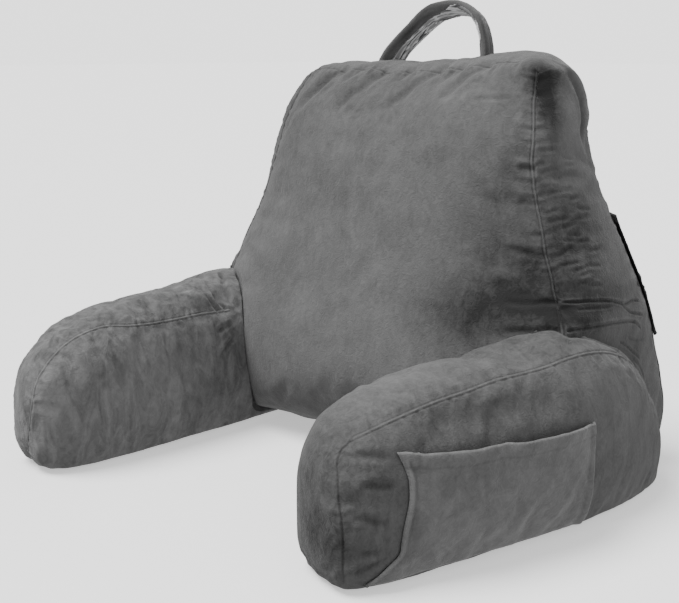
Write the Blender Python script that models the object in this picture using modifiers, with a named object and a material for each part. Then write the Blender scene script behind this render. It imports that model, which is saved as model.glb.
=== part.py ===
"""Reading pillow: a back cushion with two arms, a carry handle, an arm pocket and a back pocket.

Units are metres. +Z is up, -Y is the front, where the sitter's legs lie between the arms, and +X is
the arm that carries the side pocket. The origin is the middle of the floor area that the pillow covers.
"""

import math
from collections import namedtuple

import bmesh
import bpy
import numpy as np
from mathutils import Vector
from mathutils.bvhtree import BVHTree

# Sewing clearance between pieces that are stitched to each other
SEAM_GAP = 0.0004
POCKET_GAP = 0.0008

# Back cushion: the front panel and the back panel are joined by one long boxing strip
SeamRow = namedtuple("SeamRow", "height half_width depth")
FRONT_SEAM = (
    SeamRow(0.016, 0.214, 0.030),
    SeamRow(0.060, 0.224, 0.022),
    SeamRow(0.110, 0.240, 0.021),
    SeamRow(0.160, 0.270, 0.034),
    SeamRow(0.192, 0.284, 0.045),
    SeamRow(0.225, 0.272, 0.051),
    SeamRow(0.260, 0.254, 0.059),
    SeamRow(0.300, 0.238, 0.067),
    SeamRow(0.350, 0.224, 0.073),
    SeamRow(0.400, 0.214, 0.082),
    SeamRow(0.430, 0.203, 0.093),
    SeamRow(0.452, 0.190, 0.103),
)
REAR_SEAM = (
    SeamRow(0.014, 0.236, 0.280),
    SeamRow(0.050, 0.246, 0.286),
    SeamRow(0.100, 0.244, 0.281),
    SeamRow(0.150, 0.236, 0.273),
    SeamRow(0.200, 0.226, 0.262),
    SeamRow(0.250, 0.214, 0.244),
    SeamRow(0.300, 0.203, 0.222),
    SeamRow(0.340, 0.196, 0.202),
    SeamRow(0.380, 0.190, 0.194),
    SeamRow(0.415, 0.183, 0.194),
    SeamRow(0.444, 0.170, 0.194),
)
# Height of the upper seams above their corners, uneven where the filling bunches
CrestRow = namedtuple("CrestRow", "across front rear")
CREST = (
    CrestRow(-1.00, 0.000, 0.000),
    CrestRow(-0.82, 0.006, 0.003),
    CrestRow(-0.60, 0.003, 0.003),
    CrestRow(-0.38, 0.006, 0.005),
    CrestRow(-0.10, 0.003, 0.005),
    CrestRow(0.18, 0.006, 0.009),
    CrestRow(0.45, 0.011, 0.015),
    CrestRow(0.72, 0.015, 0.019),
    CrestRow(0.90, 0.014, 0.016),
    CrestRow(1.00, 0.006, 0.008),
)
FRONT_CROWN = 0.036
REAR_CROWN = 0.017
# How square the swell of a panel is, and how steeply it rises from the seams
CROWN_SQUARENESS = 2.4
CROWN_FULLNESS = 0.6
SIDE_SWELL = 0.012
TOP_SWELL = 0.012
FRONT_EDGE_LIFT = 0.010
FRONT_EDGE_BOW = 0.010
EDGE_ROUND_REACH = 0.3
PANEL_CENTRE_HEIGHT = 0.205
SIDE_STEPS = 22
TOP_STEPS = 27
BOTTOM_STEPS = 15
PANEL_RINGS = 8
PANEL_INNERMOST = 0.97
PANEL_RING_SPREAD = 1.25
PANEL_RELAX_PASSES = 2
STRIP_RINGS = 7

# Arms: upright sections from the front end to the rear end, given for the +X arm
ArmRow = namedtuple("ArmRow", "along inner outer low top")
ARM_SECTIONS = (
    ArmRow(-0.2990, 0.222, 0.262, 0.036, 0.088),
    ArmRow(-0.2955, 0.207, 0.274, 0.022, 0.108),
    ArmRow(-0.2860, 0.194, 0.284, 0.004, 0.128),
    ArmRow(-0.2680, 0.184, 0.291, -0.004, 0.146),
    ArmRow(-0.2400, 0.179, 0.297, -0.008, 0.163),
    ArmRow(-0.2000, 0.178, 0.303, -0.009, 0.174),
    ArmRow(-0.1500, 0.181, 0.308, -0.009, 0.181),
    ArmRow(-0.0900, 0.186, 0.315, -0.009, 0.185),
    ArmRow(-0.0250, 0.192, 0.322, -0.009, 0.190),
    ArmRow(0.0400, 0.200, 0.325, -0.009, 0.194),
    ArmRow(0.1000, 0.210, 0.321, -0.009, 0.185),
    ArmRow(0.1450, 0.218, 0.311, -0.009, 0.163),
    ArmRow(0.1800, 0.226, 0.301, -0.008, 0.130),
    ArmRow(0.2080, 0.234, 0.290, -0.006, 0.100),
    ArmRow(0.2260, 0.242, 0.276, 0.006, 0.066),
)
# Each arm leans its own way: how far its front end is set back, and how far that end is skewed
ArmLean = namedtuple("ArmLean", "side setback skew")
ARM_LEANS = {
    "arm_right": ArmLean(1.0, 0.032, -0.26),
    "arm_left": ArmLean(-1.0, 0.006, -0.20),
}
ARM_LEAN_REACH = 0.16
ARM_STATIONS = 32
ARM_ROUND_STEPS = 36
ARM_TOP_SQUARENESS = 2.5
ARM_BOTTOM_SQUARENESS = 4.5

# Handle: a flat padded strap in an arch that leans to the +X side
HandleRow = namedtuple("HandleRow", "across height")
HANDLE_ARCH = (
    HandleRow(-0.0860, 0.4450),
    HandleRow(-0.0700, 0.4680),
    HandleRow(-0.0480, 0.4930),
    HandleRow(-0.0240, 0.5130),
    HandleRow(0.0060, 0.5240),
    HandleRow(0.0360, 0.5260),
    HandleRow(0.0590, 0.5140),
    HandleRow(0.0690, 0.4920),
    HandleRow(0.0720, 0.4680),
    HandleRow(0.0720, 0.4450),
)
HANDLE_DEPTH = 0.144
HANDLE_WIDTH = 0.027
HANDLE_THICKNESS = 0.009
HANDLE_STATIONS = 26
HANDLE_ROUND_STEPS = 12
HANDLE_SQUARENESS = 3.5

# Arm pocket: a patch sewn to the outer side of the +X arm on three edges, its mouth standing open
PocketRow = namedtuple("PocketRow", "level front rear")
ARM_POCKET_EDGES = (
    PocketRow(0.00, -0.243, 0.020),
    PocketRow(0.12, -0.238, 0.024),
    PocketRow(0.26, -0.228, 0.028),
    PocketRow(0.45, -0.222, 0.033),
    PocketRow(0.75, -0.222, 0.041),
    PocketRow(1.00, -0.227, 0.047),
)
ARM_POCKET_FOOT = 0.010
ARM_POCKET_TOP_FRONT = 0.133
ARM_POCKET_TOP_REAR = 0.112
ARM_POCKET_GAPE = 0.020

# Back pocket: black mesh cloth across the back panel, held in both side seams and along its foot
BACK_POCKET_FOOT = 0.152
BACK_POCKET_TOP = 0.300
BACK_POCKET_GAPE = 0.016
BACK_POCKET_EDGE_INSET = 0.006

POCKET_THICKNESS = 0.002
POCKET_COLUMNS = 22
POCKET_ROWS = 8

# Folds pressed into the filled solids: a line across the surface, its half width and its depth
Fold = namedtuple("Fold", "start end half_width sink")
BACK_FOLDS = (
    Fold((-0.121, 0.105, 0.457), (-0.153, 0.091, 0.429), 0.010, 0.0060),
    Fold((-0.046, 0.105, 0.457), (-0.073, 0.088, 0.423), 0.010, 0.0070),
    Fold((0.037, 0.103, 0.459), (0.005, 0.089, 0.425), 0.010, 0.0060),
    Fold((0.070, 0.103, 0.461), (0.050, 0.092, 0.436), 0.009, 0.0045),
    Fold((0.112, 0.106, 0.466), (0.086, 0.094, 0.441), 0.010, 0.0050),
    Fold((0.204, 0.116, 0.436), (0.224, 0.112, 0.360), 0.022, 0.0060),
    Fold((0.205, 0.152, 0.425), (0.212, 0.160, 0.370), 0.012, 0.0050),
    Fold((0.272, 0.058, 0.226), (0.265, 0.140, 0.212), 0.010, 0.0065),
    Fold((0.265, 0.140, 0.212), (0.242, 0.228, 0.198), 0.010, 0.0050),
    Fold((0.278, 0.055, 0.204), (0.266, 0.180, 0.190), 0.009, 0.0040),
    Fold((-0.272, 0.062, 0.222), (-0.258, 0.180, 0.206), 0.011, 0.0060),
)
ARM_FOLDS = {
    "arm_right": (
        Fold((0.277, -0.258, 0.124), (0.297, -0.214, 0.120), 0.010, 0.0040),
        Fold((0.284, -0.264, 0.092), (0.300, -0.214, 0.088), 0.010, 0.0050),
        Fold((0.286, -0.265, 0.043), (0.299, -0.217, 0.044), 0.010, 0.0045),
    ),
    "arm_left": (
        Fold((-0.205, -0.020, 0.164), (-0.262, -0.004, 0.192), 0.010, 0.0060),
        Fold((-0.215, -0.002, 0.176), (-0.268, 0.018, 0.194), 0.009, 0.0040),
    ),
}


def smooth_rows(rows, count):
    """Return count rows along a smooth curve through the given ones, evenly spaced along it."""
    given = np.array(rows, dtype=float)
    steps = np.linalg.norm(np.diff(given, axis=0), axis=1)
    station = np.concatenate(([0.0], np.cumsum(steps)))
    slope = np.gradient(given, station, axis=0)
    wanted = np.linspace(0.0, station[-1], count)
    span = np.clip(np.searchsorted(station, wanted, side="right") - 1, 0, len(steps) - 1)
    length = (station[span + 1] - station[span])[:, None]
    t = (wanted - station[span])[:, None] / length
    start = (1 + 2 * t) * (1 - t) ** 2 * given[span] + t * (1 - t) ** 2 * length * slope[span]
    end = t * t * (3 - 2 * t) * given[span + 1] - t * t * (1 - t) * length * slope[span + 1]
    return start + end


def remove_everything():
    for old in list(bpy.data.objects):
        bpy.data.objects.remove(old)


def new_collection(name):
    collection = bpy.data.collections.new(name)
    bpy.context.scene.collection.children.link(collection)
    return collection


def cloth_material(name, colour, roughness):
    material = bpy.data.materials.new(name)
    material.use_nodes = True
    shader = material.node_tree.nodes["Principled BSDF"]
    shader.inputs["Base Color"].default_value = (*colour, 1.0)
    shader.inputs["Roughness"].default_value = roughness
    shader.inputs["Metallic"].default_value = 0.0
    return material


def object_from(name, points, faces, collection):
    mesh = bpy.data.meshes.new(name)
    mesh.from_pydata([tuple(point) for point in points], [], faces)
    mesh.validate()
    piece = bpy.data.objects.new(name, mesh)
    collection.objects.link(piece)
    shaping = bmesh.new()
    shaping.from_mesh(mesh)
    bmesh.ops.recalc_face_normals(shaping, faces=shaping.faces)
    shaping.to_mesh(mesh)
    shaping.free()
    mesh.shade_smooth()
    return piece


def loft_faces(ring_count, ring_size):
    """Quads between neighbouring rings, and one flat cap at each end."""
    faces = []
    for ring in range(ring_count - 1):
        for step in range(ring_size):
            here = ring * ring_size + step
            beside = ring * ring_size + (step + 1) % ring_size
            faces.append((here, beside, beside + ring_size, here + ring_size))
    faces.append(tuple(reversed(range(ring_size))))
    faces.append(tuple(range((ring_count - 1) * ring_size, ring_count * ring_size)))
    return faces


def crest_height(across, column):
    """Height of an upper seam above its corners at a place across the pillow, -1 to 1."""
    return float(np.interp(across, [row.across for row in CREST], [getattr(row, column) for row in CREST]))


def seam_outline(seam, crest_column, edge_lift, edge_bow):
    """One closed seam: along the floor to +X, up that side, back along the crest and down the other side."""
    side = smooth_rows(seam, SIDE_STEPS)
    foot_height, foot_width, foot_depth = side[0]
    top_height, top_width, top_depth = side[-1]
    points = []
    for across in np.linspace(-1.0, 1.0, BOTTOM_STEPS + 2)[1:-1]:
        rise = 1.0 - across ** 4
        points.append(Vector((across * foot_width, foot_depth - edge_bow * rise, foot_height + edge_lift * rise)))
    for height, width, depth in side:
        points.append(Vector((width, depth, height)))
    for across in np.linspace(1.0, -1.0, TOP_STEPS + 2)[1:-1]:
        height = top_height + crest_height(across, crest_column)
        points.append(Vector((across * top_width, top_depth, height)))
    for height, width, depth in reversed(side):
        points.append(Vector((-width, depth, height)))
    points[BOTTOM_STEPS + SIDE_STEPS - 1].z += crest_height(1.0, crest_column)
    return points


def panel_point(seam, across, height, top_height, crown, edge_bow):
    """A point of a swollen panel: on its seam along the edge, and out by the crown at the middle."""
    heights = [row.height for row in seam]
    half_width = float(np.interp(height, heights, [row.half_width for row in seam]))
    depth = float(np.interp(height, heights, [row.depth for row in seam]))
    level = min(max((height - heights[0]) / (top_height - heights[0]), 0.0), 1.0)
    reach = min(abs(across) / half_width, 1.0)
    side_fall = 1.0 - reach ** CROWN_SQUARENESS
    end_fall = 1.0 - abs(2.0 * level - 1.0) ** CROWN_SQUARENESS
    swell = (side_fall * end_fall) ** CROWN_FULLNESS
    bow = edge_bow * (1.0 - reach ** 4) * (1.0 - level) ** 6
    return Vector((across, depth + crown * swell - bow, height))


def panel_rings(outline, seam, crown, edge_bow, ring_count):
    """Rings that shrink from a seam to the middle of its panel, laid on the swollen panel."""
    centre = Vector((0.0, 0.0, PANEL_CENTRE_HEIGHT))
    rings = []
    for ring in range(1, ring_count + 1):
        inward = PANEL_INNERMOST * (ring / ring_count) ** PANEL_RING_SPREAD
        row = []
        for point in outline:
            spot = point.lerp(centre, inward)
            top_height = seam[-1].height + crest_height(point.x / seam[-1].half_width, "front") * (1.0 - inward)
            row.append(panel_point(seam, spot.x, spot.z, top_height, crown, edge_bow))
        rings.append(row)
    return rings


def strip_rings(front, rear, ring_count):
    """Rings of the boxing strip between the two seams, swollen at the sides and the top."""
    rings = []
    for ring in range(1, ring_count):
        share = ring / ring_count
        swell = 4.0 * share * (1.0 - share)
        row = []
        for index, (ahead, behind) in enumerate(zip(front, rear)):
            point = ahead.lerp(behind, share)
            if index < BOTTOM_STEPS:
                rise_ahead = ahead.z * max(0.0, 1.0 - share / EDGE_ROUND_REACH) ** 2
                rise_behind = behind.z * max(0.0, 1.0 - (1.0 - share) / EDGE_ROUND_REACH) ** 2
                point.z = rise_ahead + rise_behind
            elif index >= BOTTOM_STEPS + SIDE_STEPS and index < BOTTOM_STEPS + SIDE_STEPS + TOP_STEPS:
                point.z += TOP_SWELL * swell
            else:
                point.x += math.copysign(SIDE_SWELL * swell, point.x)
                point.z = max(point.z, 0.0)
            row.append(point)
        rings.append(row)
    return rings


def build_back_cushion(collection):
    front = seam_outline(FRONT_SEAM, "front", FRONT_EDGE_LIFT, FRONT_EDGE_BOW)
    rear = seam_outline(REAR_SEAM, "rear", 0.0, 0.0)
    rings = list(reversed(panel_rings(front, FRONT_SEAM, -FRONT_CROWN, FRONT_EDGE_BOW, PANEL_RINGS)))
    rings += [front] + strip_rings(front, rear, STRIP_RINGS) + [rear]
    rings += panel_rings(rear, REAR_SEAM, REAR_CROWN, 0.0, PANEL_RINGS)
    points = [point for ring in rings for point in ring]
    cushion = object_from("backrest", points, loft_faces(len(rings), len(front)), collection)
    relax_panels(cushion, len(front))
    press_folds(cushion, BACK_FOLDS)
    settle_on_floor(cushion)
    split_into_triangles(cushion)
    return cushion


def relax_panels(cushion, ring_size):
    """Even out both panels inside their seams, as stretched cloth does."""
    shaping = bmesh.new()
    shaping.from_mesh(cushion.data)
    shaping.verts.ensure_lookup_table()
    inner_count = PANEL_RINGS * ring_size
    panels = shaping.verts[:inner_count] + shaping.verts[-inner_count:]
    for _ in range(PANEL_RELAX_PASSES):
        bmesh.ops.smooth_vert(
            shaping, verts=panels, factor=0.5, use_axis_x=True, use_axis_y=True, use_axis_z=True
        )
    shaping.to_mesh(cushion.data)
    shaping.free()


def press_folds(piece, folds):
    """Sink a soft trough into the surface along each fold."""
    points = [vertex.co.copy() for vertex in piece.data.vertices]
    normals = [vertex.normal.copy() for vertex in piece.data.vertices]
    for fold in folds:
        start = Vector(fold.start)
        run = Vector(fold.end) - start
        for index, (point, normal) in enumerate(zip(points, normals)):
            along = min(max((point - start).dot(run) / run.length_squared, 0.0), 1.0)
            reach = (point - start - run * along).length / fold.half_width
            if reach < 3.0:
                piece.data.vertices[index].co -= normal * fold.sink * math.exp(-reach * reach)


def split_into_triangles(piece):
    """Fix how the faces split, so that a grown copy lies clear of the piece everywhere."""
    shaping = bmesh.new()
    shaping.from_mesh(piece.data)
    bmesh.ops.triangulate(shaping, faces=shaping.faces)
    shaping.to_mesh(piece.data)
    shaping.free()


def settle_on_floor(piece):
    """Flatten what would reach below the floor, so that the piece lies on it."""
    for vertex in piece.data.vertices:
        if vertex.co.z < 0.0006:
            vertex.co.z = 0.0


def superellipse(angle, squareness):
    """Point at an angle on a unit curve between a circle, at 2, and a square."""
    cosine = math.cos(angle)
    sine = math.sin(angle)
    power = 2.0 / squareness
    return math.copysign(abs(cosine) ** power, cosine), math.copysign(abs(sine) ** power, sine)


def build_arm(name, lean, collection):
    """One arm, on side 1 for +X and on side -1 for its mirror image."""
    sections = [ArmRow(*row) for row in smooth_rows(ARM_SECTIONS, ARM_STATIONS)]
    front_end = ARM_SECTIONS[0].along
    points = []
    for section in sections:
        fade = max(0.0, 1.0 - (section.along - front_end) / ARM_LEAN_REACH) ** 1.5
        middle = (section.inner + section.outer) / 2.0
        half_width = (section.outer - section.inner) / 2.0
        waist = (section.low + section.top) / 2.0
        half_height = (section.top - section.low) / 2.0
        for step in range(ARM_ROUND_STEPS):
            angle = 2.0 * math.pi * step / ARM_ROUND_STEPS
            squareness = ARM_TOP_SQUARENESS if math.sin(angle) >= 0.0 else ARM_BOTTOM_SQUARENESS
            across, up = superellipse(angle, squareness)
            offset = lean.side * half_width * across
            along = section.along + fade * (lean.setback + lean.skew * offset)
            points.append(Vector((lean.side * middle + offset, along, waist + half_height * up)))
    arm = object_from(name, points, loft_faces(ARM_STATIONS, ARM_ROUND_STEPS), collection)
    press_folds(arm, ARM_FOLDS[name])
    settle_on_floor(arm)
    split_into_triangles(arm)
    return arm


def swollen_copy(piece, amount, collection):
    """A copy of a piece grown by amount on every side, used as a cutter."""
    cutter = bpy.data.objects.new(piece.name + "_cutter", piece.data.copy())
    collection.objects.link(cutter)
    for vertex, source in zip(cutter.data.vertices, piece.data.vertices):
        vertex.co = source.co + source.normal * amount
    cutter.hide_render = True
    cutter.display_type = "WIRE"
    return cutter


def cut_away(piece, cutter):
    trim = piece.modifiers.new("Trim", "BOOLEAN")
    trim.operation = "DIFFERENCE"
    trim.solver = "EXACT"
    trim.object = cutter


def gape_at(share, level, gape, flare):
    """How far a pocket stands off: nothing along its sewn edges, most at the middle of its mouth."""
    return gape * (1.0 - abs(2.0 * share - 1.0) ** flare) * level ** 1.4


def pocket_sheet(name, rows, carrier, outward, gape, flare, collection):
    """Lay rows of points over the carrier, lift them by the gape and give the sheet its thickness."""
    surface = BVHTree.FromPolygons(
        [vertex.co for vertex in carrier.data.vertices],
        [tuple(polygon.vertices) for polygon in carrier.data.polygons],
    )
    points = []
    for row_index, row in enumerate(rows):
        level = row_index / (len(rows) - 1)
        for column, spot in enumerate(row):
            share = column / (len(row) - 1)
            hit = surface.ray_cast(spot + outward, -outward)[0]
            lift = POCKET_GAP + gape_at(share, level, gape, flare)
            points.append(hit + outward * lift)
    width = len(rows[0])
    faces = []
    for row_index in range(len(rows) - 1):
        for column in range(width - 1):
            here = row_index * width + column
            faces.append((here, here + 1, here + 1 + width, here + width))
    sheet = bpy.data.objects.new(name, bpy.data.meshes.new(name))
    sheet.data.from_pydata([tuple(point) for point in points], [], faces)
    sheet.data.shade_smooth()
    collection.objects.link(sheet)
    shell = sheet.modifiers.new("Cloth", "SOLIDIFY")
    shell.thickness = POCKET_THICKNESS
    shell.offset = 1.0 if sheet.data.polygons[0].normal.dot(outward) > 0.0 else -1.0
    return sheet


def build_arm_pocket(arm, collection):
    edges = [PocketRow(*row) for row in smooth_rows(ARM_POCKET_EDGES, POCKET_ROWS)]
    rows = []
    for edge in edges:
        row = []
        for share in np.linspace(0.0, 1.0, POCKET_COLUMNS):
            top = ARM_POCKET_TOP_FRONT + (ARM_POCKET_TOP_REAR - ARM_POCKET_TOP_FRONT) * share
            height = ARM_POCKET_FOOT + (top - ARM_POCKET_FOOT) * edge.level
            row.append(Vector((0.0, edge.front + (edge.rear - edge.front) * share, height)))
        rows.append(row)
    return pocket_sheet("arm_pocket", rows, arm, Vector((1.0, 0.0, 0.0)), ARM_POCKET_GAPE, 4.0, collection)


def build_back_pocket(cushion, collection):
    seam_heights = [row.height for row in REAR_SEAM]
    seam_widths = [row.half_width for row in REAR_SEAM]
    rows = []
    for height in np.linspace(BACK_POCKET_FOOT, BACK_POCKET_TOP, POCKET_ROWS):
        half_width = float(np.interp(height, seam_heights, seam_widths)) - BACK_POCKET_EDGE_INSET
        shares = np.linspace(1.0, -1.0, POCKET_COLUMNS)
        rows.append([Vector((half_width * share, 0.0, height)) for share in shares])
    return pocket_sheet("back_pocket", rows, cushion, Vector((0.0, 1.0, 0.0)), BACK_POCKET_GAPE, 8.0, collection)


def build_handle(collection):
    arch = smooth_rows(HANDLE_ARCH, HANDLE_STATIONS)
    points = []
    for index in range(HANDLE_STATIONS):
        before = arch[max(index - 1, 0)]
        after = arch[min(index + 1, HANDLE_STATIONS - 1)]
        run = Vector((after[0] - before[0], 0.0, after[1] - before[1])).normalized()
        outward = Vector((-run.z, 0.0, run.x))
        centre = Vector((arch[index][0], HANDLE_DEPTH, arch[index][1]))
        for step in range(HANDLE_ROUND_STEPS):
            angle = 2.0 * math.pi * (step + 0.5) / HANDLE_ROUND_STEPS
            across, up = superellipse(angle, HANDLE_SQUARENESS)
            offset = Vector((0.0, across * HANDLE_WIDTH / 2.0, 0.0)) + outward * up * HANDLE_THICKNESS / 2.0
            points.append(centre + offset)
    return object_from("handle", points, loft_faces(HANDLE_STATIONS, HANDLE_ROUND_STEPS), collection)


def centre_over_origin(pieces, followers):
    """Hang every piece on an empty that brings the middle of their floor area to the origin."""
    graph = bpy.context.evaluated_depsgraph_get()
    corners = []
    for piece in pieces:
        corners += [vertex.co for vertex in piece.evaluated_get(graph).data.vertices]
    middle_across = (min(corner.x for corner in corners) + max(corner.x for corner in corners)) / 2.0
    middle_along = (min(corner.y for corner in corners) + max(corner.y for corner in corners)) / 2.0
    datum = bpy.data.objects.new("floor_centre", None)
    datum.location = (-middle_across, -middle_along, 0.0)
    bpy.context.scene.collection.objects.link(datum)
    for piece in pieces + followers:
        piece.parent = datum
    bpy.context.view_layer.update()


def main():
    remove_everything()
    parts = new_collection("reading_pillow")
    cutters = new_collection("cutters")
    back = build_back_cushion(parts)
    arms = [build_arm(name, lean, parts) for name, lean in ARM_LEANS.items()]
    handle = build_handle(parts)
    arm_pocket = build_arm_pocket(arms[0], parts)
    back_pocket = build_back_pocket(back, parts)
    back_cutter = swollen_copy(back, SEAM_GAP, cutters)
    arm_cutter = swollen_copy(arms[0], SEAM_GAP, cutters)
    for piece in arms + [handle, back_pocket]:
        cut_away(piece, back_cutter)
    cut_away(arm_pocket, arm_cutter)
    plush = cloth_material("grey_plush", (0.12, 0.12, 0.122), 0.9)
    mesh_cloth = cloth_material("black_mesh_cloth", (0.006, 0.006, 0.007), 0.75)
    for piece in [back, handle, arm_pocket] + arms:
        piece.data.materials.append(plush)
    back_pocket.data.materials.append(mesh_cloth)
    centre_over_origin([back, handle, arm_pocket, back_pocket] + arms, [back_cutter, arm_cutter])


main()
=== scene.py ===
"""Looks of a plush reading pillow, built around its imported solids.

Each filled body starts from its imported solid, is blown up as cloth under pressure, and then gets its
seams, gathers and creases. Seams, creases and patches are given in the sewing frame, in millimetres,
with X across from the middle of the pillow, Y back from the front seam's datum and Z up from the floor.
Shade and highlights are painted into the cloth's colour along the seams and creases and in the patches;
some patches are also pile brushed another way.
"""

import logging
import math
from dataclasses import dataclass, field
from enum import Enum

import bpy
import numpy as np
from mathutils import Matrix, Vector, noise
from mathutils.bvhtree import BVHTree


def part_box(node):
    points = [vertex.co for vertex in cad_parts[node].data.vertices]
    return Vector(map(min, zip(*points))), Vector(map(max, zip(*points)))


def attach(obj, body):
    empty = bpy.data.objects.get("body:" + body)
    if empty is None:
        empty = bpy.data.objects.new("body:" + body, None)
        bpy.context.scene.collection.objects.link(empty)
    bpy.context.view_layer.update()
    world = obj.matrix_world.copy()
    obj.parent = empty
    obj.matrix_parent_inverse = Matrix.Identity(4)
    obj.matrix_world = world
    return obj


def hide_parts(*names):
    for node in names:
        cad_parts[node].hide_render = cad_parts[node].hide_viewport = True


LOG = logging.getLogger("reading_pillow")
MM = 0.001
MM_PER_METRE = 1000.0
ROOT = "root"
Point = tuple[float, float, float]
Bands = tuple[Point, ...]
Piece = bpy.types.Object
Material = bpy.types.Material
Tree = bpy.types.NodeTree
Node = bpy.types.Node
Socket = bpy.types.NodeSocket


class Profile(Enum):
    """How the cloth stands along a sewn or pressed line."""

    LAPPED = "lapped"
    PLAIN = "plain"
    TROUGH = "trough"
    RIDGE = "ridge"


@dataclass(frozen=True)
class SewingFrame:
    """The pillow's own symmetrical frame, placed by the back cushion's box.

    Args:
        rear_reach: how far back the back panel bulges in the sewing frame.
    """

    rear_reach: float = 0.295

    def origin(self) -> Vector:
        """Return where the sewing frame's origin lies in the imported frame."""
        low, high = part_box("backrest")
        return Vector(((low.x + high.x) / 2.0, high.y - self.rear_reach, 0.0))

    def place(self, points: np.ndarray) -> np.ndarray:
        """Return points of the sewing frame, given in metres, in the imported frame."""
        return np.asarray(points, dtype=float) + np.array(self.origin())

    def place_mm(self, points: tuple) -> np.ndarray:
        """Return points of the sewing frame, given in millimetres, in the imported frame."""
        return self.place(np.asarray(points, dtype=float) / MM_PER_METRE)


@dataclass(frozen=True)
class Line:
    """A seam, gather or crease on the cloth.

    Args:
        points: the places it runs through, in millimetres of the sewing frame.
        profile: how the cloth stands along it.
        half_width: half the width of the trough or ridge.
        rise: its height, or its depth for a trough or a seam.
        pucker: height of the small ripples that a seam draws across it.
        shade: painted shade along it, how much darker it is coloured; a painted highlight, lighter, if
            negative.
        open_start: whether its first end runs out at full depth.
        open_end: whether its last end runs out at full depth.
        fade: length over which a closed end fades out, or zero for a short one.
    """

    points: tuple[Point, ...]
    profile: Profile = Profile.TROUGH
    half_width: float = 3.0 * MM
    rise: float = 2.0 * MM
    pucker: float = 0.0
    shade: float = 0.3
    open_start: bool = False
    open_end: bool = False
    fade: float = 0.0


@dataclass(frozen=True)
class PaintedShadeAndNapMark:
    """A patch of painted shade, or painted light where negative; some are also brushed pile.

    Args:
        centre: its middle, in millimetres of the sewing frame.
        radii: its half sizes along X, Y and Z, in millimetres.
        shade: how much darker it is painted, or lighter, painted light, if negative.
    """

    centre: Point
    radii: Point
    shade: float


def linear(hex_colour: str) -> tuple[float, float, float, float]:
    """Turn an sRGB hex colour into linear RGBA.

    Args:
        hex_colour: a colour such as "#707071".

    Returns:
        Its linear red, green, blue and an alpha of one.
    """
    channels = [int(hex_colour[i : i + 2], 16) / 255.0 for i in (1, 3, 5)]
    straight = [c / 12.92 if c <= 0.04045 else ((c + 0.055) / 1.055) ** 2.4 for c in channels]
    return (*straight, 1.0)


def add_node(tree: Tree, kind: str, settings: dict, links: dict) -> Node:
    """Add a shader node with its settings and links.

    Args:
        tree: the material's node tree.
        kind: the node's type name.
        settings: attribute names, or input names, with their values.
        links: input names or numbers with the output sockets that feed them.

    Returns:
        The new node.
    """
    node = tree.nodes.new(kind)
    for name, value in settings.items():
        if name in node.inputs:
            node.inputs[name].default_value = value
        else:
            setattr(node, name, value)
    for name, socket in links.items():
        tree.links.new(socket, node.inputs[name])
    return node


@dataclass(frozen=True)
class Finish:
    """A cloth's look, with the steps that every cloth shares.

    Args:
        name: the material's name.
    """

    name: str

    def start(self) -> tuple[Material, Tree, Node]:
        """Return a new material with its node tree and its shader.

        Returns:
            The material, its tree and its shader.
        """
        material = bpy.data.materials.new(self.name)
        material.use_nodes = True
        return material, material.node_tree, material.node_tree.nodes["Principled BSDF"]

    def coordinates(self, tree: Tree, kind: str = "Object") -> Socket:
        """Return the socket of a kind of texture coordinates."""
        return add_node(tree, "ShaderNodeTexCoord", {}, {}).outputs[kind]

    def stored(self, tree: Tree, name: str) -> Socket:
        """Return the socket of a value stored on the mesh."""
        return add_node(tree, "ShaderNodeAttribute", {"attribute_name": name}, {}).outputs["Fac"]

    def colour_between(self, tree: Tree, share: Socket, first: str, second: str) -> None:
        """Colour the surface from one colour to another, by a pattern's share.

        Args:
            tree: the material's node tree.
            share: the pattern, 0 for the first colour and 1 for the second.
            first: the first colour.
            second: the second colour.
        """
        mix = add_node(tree, "ShaderNodeMix", {"data_type": "RGBA"}, {0: share})
        mix.inputs[6].default_value = linear(first)
        mix.inputs[7].default_value = linear(second)
        tree.links.new(mix.outputs[2], tree.nodes["Principled BSDF"].inputs["Base Color"])

    def emboss(self, tree: Tree, layers: tuple[tuple[float, Socket], ...]) -> None:
        """Raise fine patterns out of the surface, one over the other.

        Args:
            tree: the material's node tree.
            layers: each pattern's height and its socket.
        """
        links = {}
        for height, pattern in layers:
            bump = add_node(tree, "ShaderNodeBump", {"Distance": height}, {"Height": pattern, **links})
            links = {"Normal": bump.outputs["Normal"]}
        tree.links.new(links["Normal"], tree.nodes["Principled BSDF"].inputs["Normal"])

    def set_all_over(self, shader: Node, values: dict[str, float]) -> None:
        """Set the shader's inputs that are the same all over the surface."""
        for name, value in values.items():
            shader.inputs[name].default_value = value


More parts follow.
